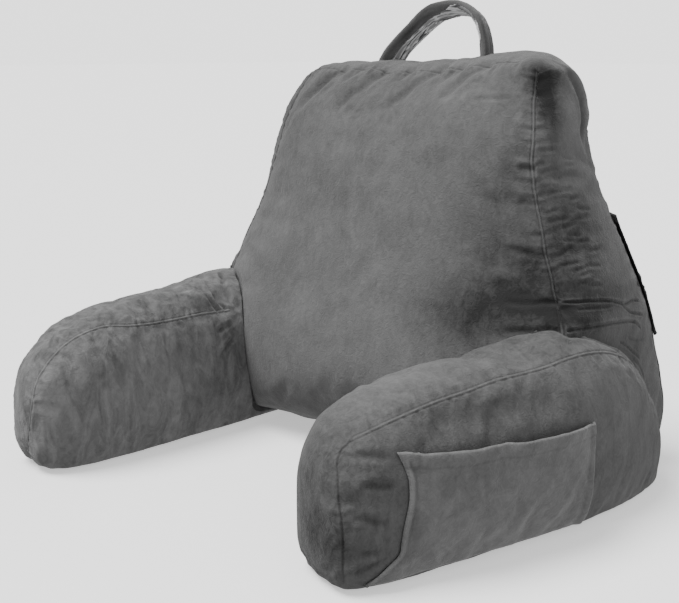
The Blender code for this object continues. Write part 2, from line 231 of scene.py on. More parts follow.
@dataclass(frozen=True)
class Plush(Finish):
    """Short-pile velour: soft and matt, lighter where its pile is seen edge on, blotchy where brushed.

    Args:
        dark: colour of the pile brushed away from the light, and of the deepest painted shade.
        light: colour of the pile brushed towards the light, and of painted highlights.
        cloud_size: size of the wide brushed patches.
        cloud_share: how strongly they show, of the way from dark to light.
        streak_size: width of the brushed streaks.
        streak_stretch: how the streaks are drawn out along X, Y and Z.
        streak_share: how strongly the streaks show.
        mottle_size: size of the small spots of crushed pile.
        mottle_share: how strongly they show.
        mottle_height: how far they stand up.
        pile_size: size of a tuft of pile.
        pile_height: how far it stands up.
        sheen: weight of the pile's edge-on glow.
        sheen_roughness: how widely the glow spreads.
        gloss: how strongly the pile reflects.
        roughness: how matt it is.
    """

    dark: str = "#2b2b2b"
    light: str = "#7d7d7d"
    cloud_size: float = 60.0 * MM
    cloud_share: float = 0.20
    streak_size: float = 16.0 * MM
    streak_stretch: Point = (1.0, 1.0, 0.45)
    streak_share: float = 0.14
    mottle_size: float = 7.0 * MM
    mottle_share: float = 0.16
    mottle_height: float = 0.9 * MM
    pile_size: float = 1.5 * MM
    pile_height: float = 0.35 * MM
    sheen: float = 0.3
    sheen_roughness: float = 0.45
    gloss: float = 0.08
    roughness: float = 0.95

    def build(self) -> Material:
        """Return the finished material.

        Returns:
            The material.
        """
        material, tree, shader = self.start()
        place = self.coordinates(tree)
        drawn = add_node(tree, "ShaderNodeMapping", {"Scale": self.streak_stretch}, {"Vector": place})
        cloud = self.noise(tree, place, self.cloud_size, 3.0, 1.0)
        streak = self.noise(tree, drawn.outputs["Vector"], self.streak_size, 4.0, 1.4)
        mottle = self.noise(tree, place, self.mottle_size, 4.0, 1.6)
        pile = self.noise(tree, place, self.pile_size, 2.0, 0.0)
        brushed = None
        shares = (self.cloud_share, self.streak_share, self.mottle_share)
        for pattern, share in zip((cloud, streak, mottle), shares):
            layer = add_node(tree, "ShaderNodeMath", {"operation": "MULTIPLY_ADD"}, {0: pattern})
            layer.inputs[1].default_value = 2.0 * share
            layer.inputs[2].default_value = 0.5 - sum(shares)
            if brushed is not None:
                tree.links.new(brushed, layer.inputs[2])
            brushed = layer.outputs["Value"]
        # The stored value is subtracted: painted shade along seams, creases and in patches darkens the
        # colour, painted highlights where negative lighten it; some of it is brushed pile.
        clamped = {"operation": "SUBTRACT", "use_clamp": True}
        shaded = add_node(tree, "ShaderNodeMath", clamped, {0: brushed, 1: self.stored(tree, "nap_and_painted_shade")})
        self.colour_between(tree, shaded.outputs["Value"], self.dark, self.light)
        self.emboss(tree, ((self.mottle_height, mottle), (self.pile_height, pile)))
        self.set_all_over(shader, {
            "Roughness": self.roughness, "Specular IOR Level": self.gloss,
            "Sheen Weight": self.sheen, "Sheen Roughness": self.sheen_roughness,
        })
        return material

    def noise(self, tree: Tree, place: Socket, size: float, detail: float, distortion: float) -> Socket:
        """Add a noise pattern.

        Args:
            tree: the material's node tree.
            place: the coordinates that it reads.
            size: size of a spot.
            detail: how many finer layers it has.
            distortion: how strongly it is stirred.

        Returns:
            The pattern's socket.
        """
        settings = {"Scale": 1.0 / size, "Detail": detail, "Roughness": 0.6, "Distortion": distortion}
        return add_node(tree, "ShaderNodeTexNoise", settings, {"Vector": place}).outputs["Fac"]


@dataclass(frozen=True)
class Satin(Finish):
    """Smooth woven lining of the handle: paler than the plush and silky, with painted highlights on its
    folds.

    Args:
        dark: colour of the painted shade in its creases.
        light: colour of the painted highlights on its folds.
        thread_size: size of a thread.
        thread_height: how far a thread stands up.
        roughness: how matt it is.
        sheen: weight of its edge-on glow.
    """

    dark: str = "#303032"
    light: str = "#fbfbfc"
    thread_size: float = 0.8 * MM
    thread_height: float = 0.1 * MM
    roughness: float = 0.38
    sheen: float = 0.4

    def build(self) -> Material:
        """Return the finished material.

        Returns:
            The material.
        """
        material, tree, shader = self.start()
        # Painted shade in the lining's creases and painted highlights on its folds, from the stored fold
        # value.
        self.colour_between(tree, self.stored(tree, "fold"), self.dark, self.light)
        scale = {"Scale": 1.0 / self.thread_size}
        threads = add_node(tree, "ShaderNodeTexNoise", scale, {"Vector": self.coordinates(tree)})
        self.emboss(tree, ((self.thread_height, threads.outputs["Fac"]),))
        self.set_all_over(shader, {"Roughness": self.roughness, "Sheen Weight": self.sheen})
        return material


@dataclass(frozen=True)
class MeshCloth(Finish):
    """Black polyester mesh cloth: fine even holes that take the light, with a faint gloss on its threads.

    Args:
        thread: colour of the threads.
        hole: colour seen in the holes.
        pitch: distance between holes, drawn coarser than the real 1 mm so that it shows.
        hole_radius: where a hole ends, as a share of the pitch.
        thread_start: where the thread is full, as a share of the pitch.
        thread_height: how far the threads stand up.
        roughness: how matt it is.
    """

    thread: str = "#26272a"
    hole: str = "#050506"
    pitch: float = 2.2 * MM
    hole_radius: float = 0.25
    thread_start: float = 0.42
    thread_height: float = 0.4 * MM
    roughness: float = 0.6

    def build(self) -> Material:
        """Return the finished material.

        Returns:
            The material.
        """
        material, tree, shader = self.start()
        even = {"Scale": 1.0 / self.pitch, "Randomness": 0.0}
        holes = add_node(tree, "ShaderNodeTexVoronoi", even, {"Vector": self.coordinates(tree, "UV")})
        limits = {"From Min": self.hole_radius, "From Max": self.thread_start}
        ramp = add_node(tree, "ShaderNodeMapRange", limits, {"Value": holes.outputs["Distance"]})
        self.colour_between(tree, ramp.outputs["Result"], self.hole, self.thread)
        self.emboss(tree, ((self.thread_height, ramp.outputs["Result"]),))
        self.set_all_over(shader, {"Roughness": self.roughness})
        return material


def deselect_all() -> None:
    """Clear the selection, which operators would otherwise act on."""
    for thing in bpy.context.selected_objects:
        thing.select_set(False)


def make_active(piece: Piece) -> None:
    """Select one piece alone and make it active.

    Args:
        piece: the object.
    """
    deselect_all()
    piece.select_set(True)
    bpy.context.view_layer.objects.active = piece


def apply_modifier(piece: Piece, kind: str, **settings: object) -> None:
    """Add a modifier and apply it at once.

    Args:
        piece: the object to finish.
        kind: the modifier's type.
        settings: the modifier's attributes.
    """
    make_active(piece)
    modifier = piece.modifiers.new(kind.title(), kind)
    for name, value in settings.items():
        setattr(modifier, name, value)
    bpy.ops.object.modifier_apply(modifier=modifier.name)


def vertices_of(piece: Piece) -> np.ndarray:
    """Return the places of a piece's vertices, one row each.

    Args:
        piece: the object.

    Returns:
        The places.
    """
    places = np.empty(len(piece.data.vertices) * 3)
    piece.data.vertices.foreach_get("co", places)
    return places.reshape(-1, 3)


def normals_of(piece: Piece) -> np.ndarray:
    """Return the normals of a piece's vertices, one row each.

    Args:
        piece: the object.

    Returns:
        The normals.
    """
    piece.data.update()
    normals = np.empty(len(piece.data.vertices) * 3)
    piece.data.vertices.foreach_get("normal", normals)
    return normals.reshape(-1, 3)


def move_vertices(piece: Piece, places: np.ndarray) -> None:
    """Put a piece's vertices at new places."""
    piece.data.vertices.foreach_set("co", places.ravel())
    piece.data.update()


def smooth_path(points: np.ndarray, step: float) -> np.ndarray:
    """Return points along a smooth curve through the given ones.

    Args:
        points: the places it runs through, one row each.
        step: distance between the returned points.

    Returns:
        The points, one row each.
    """
    given = np.asarray(points, dtype=float)
    runs = np.linalg.norm(np.diff(given, axis=0), axis=1)
    station = np.concatenate(([0.0], np.cumsum(runs)))
    slope = np.gradient(given, station, axis=0)
    wanted = np.linspace(0.0, station[-1], max(3, int(station[-1] / step) + 1))
    span = np.clip(np.searchsorted(station, wanted, side="right") - 1, 0, len(runs) - 1)
    length = (station[span + 1] - station[span])[:, None]
    t = (wanted - station[span])[:, None] / length
    start = (1 + 2 * t) * (1 - t) ** 2 * given[span] + t * (1 - t) ** 2 * length * slope[span]
    end = t * t * (3 - 2 * t) * given[span + 1] - t * t * (1 - t) * length * slope[span + 1]
    return start + end


def nearest_on_path(places: np.ndarray, path: np.ndarray, reach: float) -> tuple:
    """Find the vertices near a path and how they lie to it.

    Args:
        places: the vertices, one row each.
        path: the path's points, one row each.
        reach: how far from the path a vertex still counts.

    Returns:
        The numbers of the vertices in reach, their distances from the path, and their distances along it.
    """
    low = path.min(axis=0) - reach
    high = path.max(axis=0) + reach
    inside = np.flatnonzero(np.all((places > low) & (places < high), axis=1))
    near = places[inside]
    best = np.full(len(inside), np.inf)
    along = np.zeros(len(inside))
    walked = 0.0
    for start, end in zip(path[:-1], path[1:]):
        run = end - start
        length = float(np.linalg.norm(run))
        share = np.clip(((near - start) @ run) / (length * length), 0.0, 1.0)
        gap = np.linalg.norm(near - start - share[:, None] * run, axis=1)
        closer = gap < best
        best[closer] = gap[closer]
        along[closer] = walked + share[closer] * length
        walked += length
    kept = best < reach
    return inside[kept], best[kept], along[kept]


def bell(distance: np.ndarray, half_width: float) -> np.ndarray:
    """Return a smooth hump that is one on the line and fades over its half width."""
    return np.exp(-((distance / half_width) ** 2))


def bands(distance: np.ndarray, rows: Bands) -> np.ndarray:
    """Return the sum of several humps beside a line or an edge.

    Args:
        distance: how far each vertex is from it.
        rows: each hump's height, its place and its half width, both in millimetres.

    Returns:
        One height for each vertex, in the unit that the rows give it in.
    """
    return sum(height * bell(distance - place * MM, half_width * MM) for height, place, half_width in rows)


def ripple(along: np.ndarray, wave: float, seed: float) -> np.ndarray:
    """Return an uneven wave along a seam, between about -1 and 1.

    Args:
        along: how far along the seam each vertex is.
        wave: length of the main wave.
        seed: where the wave starts.

    Returns:
        One height for each vertex.
    """
    turn = 2.0 * math.pi * along / wave
    parts = ((0.5, 1.0, 1.0), (0.3, 1.73, 2.1), (0.2, 0.61, 3.3))
    return sum(height * np.sin(pace * turn + start * seed) for height, pace, start in parts)


def lumps(places: np.ndarray, size: float) -> np.ndarray:
    """Return an uneven height at each place, between about -1 and 1.

    Args:
        places: the vertices, one row each.
        size: how wide a lump is.

    Returns:
        One height for each vertex.
    """
    return np.array([noise.noise(Vector(place) / size) for place in places])


def store(piece: Piece, name: str, values: np.ndarray) -> None:
    """Store a value for each vertex, for the materials to read.

    Args:
        piece: the object.
        name: the value's name.
        values: one value for each vertex.
    """
    attribute = piece.data.attributes.new(name, "FLOAT", "POINT")
    attribute.data.foreach_set("value", values.astype(np.float32))


def finish_piece(piece: Piece, finishes: list[Material]) -> None:
    """Give a piece its materials and smooth shading.

    Args:
        piece: the object.
        finishes: its materials, in the order of its faces' numbers.
    """
    piece.data.materials.clear()
    for finish in finishes:
        piece.data.materials.append(finish)
    piece.data.shade_smooth()


# Seam sections as bands: heights, and painted shade that darkens the stitch grooves, with a painted
# highlight on the ridge.
LAPPED_HEIGHTS = ((0.45, 0.0, 1.0), (-0.35, 1.9, 0.8))
LAPPED_SHADES = ((1.0, 2.0, 1.0), (-1.0, 0.0, 0.9))
PLAIN_WIDTH = 1.2 * MM
PLAIN_SHADE_WIDTH = 1.4 * MM


@dataclass
class Body:
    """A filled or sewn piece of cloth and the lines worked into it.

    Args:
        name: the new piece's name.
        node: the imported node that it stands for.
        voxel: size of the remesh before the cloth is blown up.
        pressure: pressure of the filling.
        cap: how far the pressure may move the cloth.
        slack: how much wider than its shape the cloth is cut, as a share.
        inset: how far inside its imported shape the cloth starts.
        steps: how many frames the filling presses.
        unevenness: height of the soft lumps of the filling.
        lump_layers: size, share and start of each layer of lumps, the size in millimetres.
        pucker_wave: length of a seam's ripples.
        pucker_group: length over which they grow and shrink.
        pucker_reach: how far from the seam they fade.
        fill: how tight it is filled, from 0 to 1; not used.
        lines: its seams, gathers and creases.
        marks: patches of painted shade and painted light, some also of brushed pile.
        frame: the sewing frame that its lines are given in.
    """

    name: str
    node: str
    voxel: float = 6.5 * MM
    pressure: float = 3.0
    cap: float = 6.0 * MM
    slack: float = 0.02
    inset: float = 3.0 * MM
    steps: int = 20
    unevenness: float = 1.2 * MM
    lump_layers: Bands = ((65.0, 1.0, 0.0), (24.0, 0.45, 3.0), (9.0, 0.12, 7.0))
    pucker_wave: float = 14.0 * MM
    pucker_group: float = 62.0 * MM
    pucker_reach: float = 13.0 * MM
    fill: float = 0.7
    lines: list[Line] = field(default_factory=list)
    marks: list[PaintedShadeAndNapMark] = field(default_factory=list)
    frame: SewingFrame = field(default_factory=SewingFrame)

    def add_lines(self, paths: tuple, **form: object) -> None:
        """Add lines of one form.

        Args:
            paths: the points of each line.
            form: the lines' other fields.
        """
        self.lines.extend(Line(path, **form) for path in paths)

    def build(self, finish: Material) -> Piece:
        """Build the body, dress it and hang it in the frame.

        Args:
            finish: the cloth's material.

        Returns:
            The finished piece.
        """
        piece = self.copy_of_node()
        self.blow_up(piece)
        apply_modifier(piece, "SUBSURF", levels=1, render_levels=1)
        self.lump(piece)
        paths = [self.path_on(piece, line) for line in self.lines]
        self.refine(piece, paths)
        self.work_lines(piece, paths)
        self.rest_on_floor(piece)
        finish_piece(piece, [finish])
        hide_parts(self.node)
        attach(piece, ROOT)
        LOG.info("%s: %d faces", self.name, len(piece.data.polygons))
        return piece

    def copy_of_node(self) -> Piece:
        """Return a copy of the node's solid with an even net of faces.

        Returns:
            The copy.
        """
        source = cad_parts[self.node]
        piece = bpy.data.objects.new(self.name, source.data.copy())
        bpy.context.scene.collection.objects.link(piece)
        make_active(piece)
        bpy.ops.object.mode_set(mode="EDIT")
        bpy.ops.mesh.select_all(action="SELECT")
        bpy.ops.mesh.remove_doubles(threshold=0.02 * MM)
        bpy.ops.mesh.customdata_custom_splitnormals_clear()
        bpy.ops.object.mode_set(mode="OBJECT")
        piece.data.remesh_voxel_size = self.voxel
        piece.data.remesh_voxel_adaptivity = 0.0
        bpy.ops.object.voxel_remesh()
        return piece

    def blow_up(self, piece: Piece) -> None:
        """Let the filling press the cloth outwards between the seams, and cap how far it moves.

        Args:
            piece: the object.
        """
        before = vertices_of(piece)
        held = piece.vertex_groups.new(name="held")
        for line in self.lines:
            if line.profile in (Profile.LAPPED, Profile.PLAIN):
                path = smooth_path(self.frame.place_mm(line.points), 5.0 * MM)
                found = nearest_on_path(before, path, 1.2 * self.voxel)[0]
                held.add([int(index) for index in found], 1.0, "REPLACE")
        floor = np.flatnonzero(before[:, 2] < 0.5 * self.voxel)
        held.add([int(index) for index in floor], 1.0, "REPLACE")
        before = before - normals_of(piece) * self.inset
        before[:, 2] = np.maximum(before[:, 2], 0.0)
        move_vertices(piece, before)
        cloth = piece.modifiers.new("Filling", "CLOTH")
        cloth.settings.quality = 5
        cloth.settings.mass = 0.3
        cloth.settings.bending_stiffness = 0.5
        cloth.settings.use_pressure = True
        cloth.settings.uniform_pressure_force = self.pressure
        cloth.settings.shrink_min = -self.slack
        cloth.settings.vertex_group_mass = "held"
        cloth.settings.effector_weights.gravity = 0.0
        cloth.point_cache.frame_start = 1
        cloth.point_cache.frame_end = self.steps
        for step in range(1, self.steps + 1):
            bpy.context.scene.frame_set(step)
        graph = bpy.context.evaluated_depsgraph_get()
        blown = vertices_of(piece.evaluated_get(graph))
        piece.modifiers.remove(cloth)
        piece.vertex_groups.clear()
        bpy.context.scene.frame_set(1)
        moved = blown - before
        reach = np.linalg.norm(moved, axis=1, keepdims=True)
        soft_cap = self.cap * np.tanh(reach / self.cap) / np.maximum(reach, 1e-9)
        move_vertices(piece, before + moved * soft_cap)
        LOG.info("%s: the filling moved the cloth by up to %.1f mm", self.name, reach.max() / MM)

    def lump(self, piece: Piece) -> None:
        """Raise and sink the cloth a little where the filling bunches under it.

        Args:
            piece: the object.
        """
        places = vertices_of(piece)
        height = sum(share * lumps(places + start, size * MM) for size, share, start in self.lump_layers)
        height = self.unevenness * height
        move_vertices(piece, places + normals_of(piece) * height[:, None])

    def path_on(self, piece: Piece, line: Line) -> np.ndarray:
        """Return a line's path, laid on the nearest cloth.

        Args:
            piece: the object.
            line: the seam or crease.

        Returns:
            The path's points, one row each.
        """
        rough = smooth_path(self.frame.place_mm(line.points), 4.0 * MM)
        laid = []
        for point in rough:
            hit = piece.closest_point_on_mesh(Vector(point))
            laid.append(hit[1] if hit[0] else Vector(point))
        laid = np.array(laid)
        for _ in range(3):
            laid[1:-1] = 0.25 * laid[:-2] + 0.5 * laid[1:-1] + 0.25 * laid[2:]
        return laid

    def refine(self, piece: Piece, paths: list[np.ndarray]) -> None:
        """Split the faces near each line, more finely beside the seams.

        Args:
            piece: the object.
            paths: the lines' paths.
        """
        for reach, needs in ((14.0 * MM, 6.0 * MM), (7.0 * MM, 3.0 * MM)):
            places = vertices_of(piece)
            wanted = np.zeros(len(places), dtype=bool)
            for line, path in zip(self.lines, paths):
                sewn = line.profile in (Profile.LAPPED, Profile.PLAIN)
                if sewn or line.half_width < needs:
                    wanted[nearest_on_path(places, path, reach)[0]] = True
            ends = np.empty(len(piece.data.edges) * 2, dtype=np.int64)
            piece.data.edges.foreach_get("vertices", ends)
            chosen = wanted[ends.reshape(-1, 2)].all(axis=1)
            make_active(piece)
            bpy.ops.object.mode_set(mode="EDIT")
            bpy.ops.mesh.select_mode(type="EDGE")
            bpy.ops.mesh.select_all(action="DESELECT")
            bpy.ops.object.mode_set(mode="OBJECT")
            piece.data.edges.foreach_set("select", chosen)
            bpy.ops.object.mode_set(mode="EDIT")
            bpy.ops.mesh.subdivide(number_cuts=1, smoothness=0.0)
            bpy.ops.object.mode_set(mode="OBJECT")

    def work_lines(self, piece: Piece, paths: list[np.ndarray]) -> None:
        """Press the seams, gathers and creases into the cloth, paint shade along them and highlights on
        ridges, and paint the patches.

        Args:
            piece: the object.
            paths: the lines' paths.
        """
        places = vertices_of(piece)
        normals = normals_of(piece)
        lift = np.zeros(len(places))
        nap_and_painted_shade = np.zeros(len(places))
        for number, (line, path) in enumerate(zip(self.lines, paths)):
            reach = max(4.0 * line.half_width, 30.0 * MM if line.pucker else 0.0)
            found, gap, along = nearest_on_path(places, path, reach)
            total = float(np.linalg.norm(np.diff(path, axis=0), axis=1).sum())
            fade_length = line.fade or min(0.35 * total, 3.0 * line.half_width + 3.0 * MM)
            fade = np.ones(len(found))
            if not line.open_start:
                fade *= np.clip(along / fade_length, 0.0, 1.0)
            if not line.open_end:
                fade *= np.clip((total - along) / fade_length, 0.0, 1.0)
            fade = fade * fade * (3.0 - 2.0 * fade)
            height, shade = self.section(line, gap)
            if line.pucker:
                wave = ripple(along + 0.25 * gap, self.pucker_wave, 1.0 + number)
                wave = wave * (0.65 + 0.7 * ripple(along, self.pucker_group, 0.5 * number))
                wave = wave * np.exp(-gap / self.pucker_reach) * np.tanh(gap / (2.0 * MM))
                height = height + line.pucker * wave
            lift[found] += height * fade
            nap_and_painted_shade[found] += shade * fade
        # Patches of painted shade, and of painted light where negative; some are also brushed pile.
        for mark in self.marks:
            nap_and_painted_shade += mark.shade * self.patch(places, mark.centre, mark.radii)
        move_vertices(piece, places + normals * lift[:, None])
        # Store the painted shade and highlights, with the brushed pile, for the material to read.
        store(piece, "nap_and_painted_shade", nap_and_painted_shade)

    def patch(self, places: np.ndarray, centre: Point, radii: Point) -> np.ndarray:
        """Return a smooth patch that is one at its middle and fades out all round.

        Args:
            places: the vertices, one row each.
            centre: its middle, in millimetres of the sewing frame.
            radii: its half sizes along X, Y and Z, in millimetres.

        Returns:
            One share for each vertex.
        """
        offset = (places - self.frame.place_mm(centre)) / (np.array(radii) / MM_PER_METRE)
        return np.exp(-(offset ** 2).sum(axis=1))

    def section(self, line: Line, gap: np.ndarray) -> tuple[np.ndarray, np.ndarray]:
        """Return the height and the shade of the cloth at a distance from a line.

        Args:
            line: the seam or crease.
            gap: distances from it.

        Returns:
            Heights along the cloth's normal, and the painted shade: how much darker it is coloured, lighter
            where negative.
        """
        valley = line.rise * bell(gap, 3.0 * line.half_width)
        if line.profile is Profile.LAPPED:
            return line.rise * bands(gap, LAPPED_HEIGHTS) - valley, line.shade * bands(gap, LAPPED_SHADES)
        if line.profile is Profile.PLAIN:
            return -MM * bell(gap, PLAIN_WIDTH) - valley, line.shade * bell(gap, PLAIN_SHADE_WIDTH)
        middle = bell(gap, line.half_width)
        # A ridge is painted lighter along its top, a painted highlight; a trough is painted darker, painted
        # shade.
        if line.profile is Profile.RIDGE:
            return line.rise * middle, -line.shade * middle
        lips = 0.3 * line.rise * bell(gap - 2.0 * line.half_width, line.half_width)
        return lips - line.rise * middle, line.shade * middle

    def rest_on_floor(self, piece: Piece) -> None:
        """Keep the cloth on the floor that it lies on.

        Args:
            piece: the object.
        """
        places = vertices_of(piece)
        places[:, 2] = np.maximum(places[:, 2], 0.0)
        move_vertices(piece, places)


@dataclass
class BackCushion(Body):
    """The back cushion: front panel, back panel and the boxing strip between them.

    Args:
        corner_draw: how far the right front corner is drawn in.
        corner_width: how wide the drawn-in corner is, to each side.
    """

    corner_draw: float = 13.0 * MM
    corner_width: float = 24.0 * MM

    def __post_init__(self) -> None:
        """Lay out the seams, gathers, folds and the patches of painted shade and light."""
        self.sew()
        self.gather_crest()
        self.fold_right_strip()
        self.fold_front_panel()
        # Painted shade on the boxing strip, beside the right front seam and above the right arm; painted
        # light where negative.
        patches = (
            ((165, 50, 300), (60, 60, 130), 0.14),
            ((-180, 60, 320), (80, 80, 180), 0.13),
            ((225, 42, 225), (60, 50, 55), 0.30),
            ((185, 32, 210), (45, 50, 30), 0.18),
            ((150, 20, 185), (65, 50, 30), 0.26),
            ((198, 106, 424), (24, 14, 46), 0.52),
            ((190, 116, 447), (30, 22, 18), 0.36),
            ((240, 100, 270), (50, 65, 80), 0.32),
            ((250, 215, 240), (40, 60, 70), 0.19),
            ((262, 190, 150), (30, 50, 30), 0.22),
            ((268, 75, 209), (40, 65, 16), 0.36),
            ((207, 138, 390), (24, 20, 44), -0.20),
            ((217, 112, 362), (20, 20, 30), -0.12),
            ((222, 170, 320), (30, 25, 60), -0.08),
            ((0, 80, 430), (200, 60, 60), 0.12),
        )
        self.marks = [PaintedShadeAndNapMark(*patch) for patch in patches]

    def copy_of_node(self) -> Piece:
        """Return a copy of the solid whose right front corner is drawn in to its seam.

        Returns:
            The copy.
        """
        piece = super().copy_of_node()
        corner = (
            (186, 105, 457), (201, 96, 435), (214, 82, 400), (224, 73, 350), (238, 67, 300),
            (254, 59, 260), (272, 51, 225), (283, 45, 195),
        )
        places = vertices_of(piece)
        path = smooth_path(self.frame.place_mm(corner), 5.0 * MM)
        found, gap, along = nearest_on_path(places, path, 60.0 * MM)
        share = np.sin(math.pi * np.clip(along / along.max(), 0.0, 1.0)) ** 0.5
        places[found, 0] -= self.corner_draw * share * bell(gap, self.corner_width)
        move_vertices(piece, places)
        apply_modifier(piece, "SMOOTH", factor=0.5, iterations=3)
        return piece

    def sew(self) -> None:
        """Add the seams of the front and the back panel."""
        front = (
            (177, 110, 462), (183, 100, 453), (191, 88, 425), (203, 75, 388), (208, 68, 360),
            (215, 65, 337), (224, 63, 313), (236, 60, 284), (247, 55, 260), (259, 50, 236),
            (267, 46, 214), (275, 41, 193), (281, 36, 170), (284, 32, 150),
        )
        rear = (
            (170, 194, 452), (183, 194, 415), (190, 194, 380), (196, 202, 340), (203, 222, 300),
            (214, 244, 250), (226, 262, 200), (236, 273, 150), (244, 281, 100), (246, 286, 50),
            (236, 280, 14),
        )
        crest = (
            (-190, 103, 453), (-156, 103, 459), (-114, 103, 456), (-72, 103, 459), (-19, 103, 456),
            (34, 103, 459), (86, 103, 464), (137, 103, 468), (165, 104, 467),
        )
        rear_crest = (
            (-170, 194, 444), (-102, 194, 447), (-17, 194, 449), (31, 194, 453), (76, 194, 459),
            (122, 194, 463), (153, 194, 460), (170, 194, 452),
        )
        sides = (front, mirrored(front), rear, mirrored(rear))
        seam = {"half_width": 4.0 * MM, "open_end": True}
        # Seams are painted darker along their stitch grooves, painted shade, with a painted highlight on
        # the ridge.
        self.add_lines(sides, profile=Profile.LAPPED, rise=1.8 * MM, pucker=1.5 * MM, shade=0.10, **seam)
        self.add_lines(
            (crest,), profile=Profile.PLAIN, rise=0.8 * MM, pucker=1.6 * MM, shade=0.0, half_width=4.0 * MM
        )
        self.add_lines(
            (rear_crest,), profile=Profile.PLAIN, rise=1.2 * MM, pucker=1.2 * MM, shade=0.08, **seam
        )

    def gather_crest(self) -> None:
        """Add the gathers that fan down from the crest."""
        gathers = (
            ((-121, 105, 456), (-138, 98, 438), (-152, 90, 418), (-162, 83, 398)),
            ((-46, 105, 457), (-62, 96, 438), (-78, 87, 414), (-90, 79, 390)),
            ((37, 103, 460), (20, 96, 440), (2, 87, 416), (-10, 80, 394)),
            ((112, 106, 467), (96, 100, 448), (80, 92, 428), (68, 84, 404)),
            ((72, 103, 463), (60, 98, 448), (48, 91, 430)),
            ((-85, 105, 458), (-98, 98, 442), (-110, 91, 426)),
            ((-6, 105, 457), (-16, 98, 443), (-28, 91, 428)),
        )
        # Gathers are painted darker in their troughs: painted shade.
        self.add_lines(
            gathers, half_width=6.0 * MM, rise=2.4 * MM, shade=0.05, open_start=True, fade=22.0 * MM
        )
        for number in range(9):
            x = -165.0 + 37.0 * number + 6.0 * math.sin(2.3 * number)
            drop = 12.0 + 6.0 * math.sin(1.7 * number)
            small = tuple((x - 0.6 * drop * t, 104.0 - 6.0 * t, 460.0 - drop * t) for t in (0.0, 0.5, 1.0))
            self.add_lines((small,), half_width=3.4 * MM, rise=0.9 * MM, shade=0.04)

    def fold_right_strip(self) -> None:
        """Add the ridge, the hollow, the ripples and the long creases beside the right front seam."""
        ridge = (
            (172, 131, 471), (179, 138, 466), (187, 146, 460), (192, 155, 451), (194, 166, 440),
            (195, 173, 427), (197, 174, 413), (201, 172, 399), (205, 166, 386), (209, 160, 370),
        )
        hollow = ((186, 103, 458), (196, 103, 440), (203, 104, 420), (207, 98, 400))
        long_creases = (
            ((268, 53, 226), (266, 90, 219), (262, 135, 213), (258, 168, 205), (247, 206, 203),
             (240, 230, 199)),
            ((258, 160, 205), (253, 188, 192), (244, 230, 182)),
            ((275, 43, 196), (278, 84, 194), (267, 142, 189), (256, 196, 180), (249, 221, 169)),
            ((270, 70, 214), (268, 95, 210), (264, 120, 208), (262, 150, 209)),
            ((266, 150, 168), (262, 185, 152), (256, 215, 135)),
            ((263, 172, 168), (259, 196, 160), (252, 224, 156)),
            ((262, 192, 140), (257, 212, 128), (252, 226, 108)),
        )
        beside = tuple((x + 3.0, y - 9.0, z - 2.0) for x, y, z in ridge[2:])
        # The ridge is painted lighter along its top, a painted highlight; the trough beside it, the hollow,
        # the creases and the ripples are painted darker, painted shade.
        self.add_lines(
            (ridge,), profile=Profile.RIDGE, half_width=2.3 * MM, rise=4.6 * MM, shade=0.5, fade=45.0 * MM
        )
        self.add_lines((beside,), half_width=5.0 * MM, rise=2.5 * MM, shade=0.22, fade=35.0 * MM)
        self.add_lines((hollow,), half_width=10.0 * MM, rise=4.0 * MM, shade=0.08, open_start=True)
        for crease, depth in zip(long_creases, (1.6, 1.2, 1.5, 0.7, 0.9, 0.7, 0.8)):
            self.add_lines((crease,), half_width=1.5 * MM, rise=depth * MM, shade=0.11 * depth)
        for number in range(26):
            level = 374.0 - 5.6 * number + 1.5 * math.sin(4.1 * number)
            x = 216.0 + 0.34 * (374.0 - level)
            start = 72.0 + 12.0 * math.sin(2.4 * number) + 26.0 * (number % 2)
            length = 24.0 + 14.0 * abs(math.sin(2.7 * number + 0.8))
            fall = 4.0 * math.sin(1.3 * number)
            fine = tuple((x, start + length * t, level - fall * t) for t in (0.0, 0.5, 1.0))
            self.add_lines((fine,), half_width=2.2 * MM, rise=0.8 * MM, shade=0.07)

    def fold_front_panel(self) -> None:
        """Add the soft folds of the front panel beside the seam and the nick near its corner."""
        folds = (
            ((191, 40, 274), (214, 45, 271), (239, 55, 271)),
            ((204, 27, 221), (232, 33, 221), (261, 47, 224)),
            ((210, 21, 190), (243, 29, 193), (268, 40, 197)),
            ((196, 55, 318), (208, 58, 322), (220, 62, 322)),
            ((188, 66, 352), (197, 68, 356), (207, 70, 355)),
        )
        # The folds, the nick and the slack are painted darker in their troughs: painted shade.
        self.add_lines(folds, half_width=3.4 * MM, rise=1.5 * MM, shade=0.12, open_end=True)
        nick = ((116, 83, 417), (140, 85, 420), (156, 86, 421), (165, 90, 428))
        self.add_lines((nick,), half_width=3.0 * MM, rise=1.0 * MM, shade=0.06)
        slack = ((170, 70, 372), (190, 62, 328), (212, 56, 281), (240, 46, 225))
        self.add_lines((slack,), half_width=11.0 * MM, rise=2.2 * MM, shade=0.06)


def mirrored(points: tuple[Point, ...]) -> tuple[Point, ...]:
    """Return a line on the other side of the pillow."""
    return tuple((-x, y, z) for x, y, z in points)


class Side(Enum):
    """The side of the pillow that a piece is on, as its sign along X."""

    RIGHT = 1.0
    LEFT = -1.0


OUTER_SEAM = (
    (270, 215, 70), (275, 208, 85), (283, 180, 114), (291, 145, 146), (299, 100, 168), (303, 40, 178),
    (299, -30, 174), (292, -85, 171), (290, -123, 167), (287, -152, 164), (284, -189, 158),
    (281, -211, 154), (274, -235, 147), (267, -246, 143), (263, -258, 131), (270, -266, 113),
    (281, -270, 80), (283, -268, 35), (281, -268, 12),
)
INNER_SEAM = (
    (202, -10, 157), (202, -40, 157), (198, -104, 157), (197, -162, 159), (203, -200, 163),
    (204, -232, 156), (205, -254, 146), (205, -273, 131), (208, -290, 106), (210, -295, 85),
    (216, -297, 60), (228, -295, 31), (238, -290, 10),
)


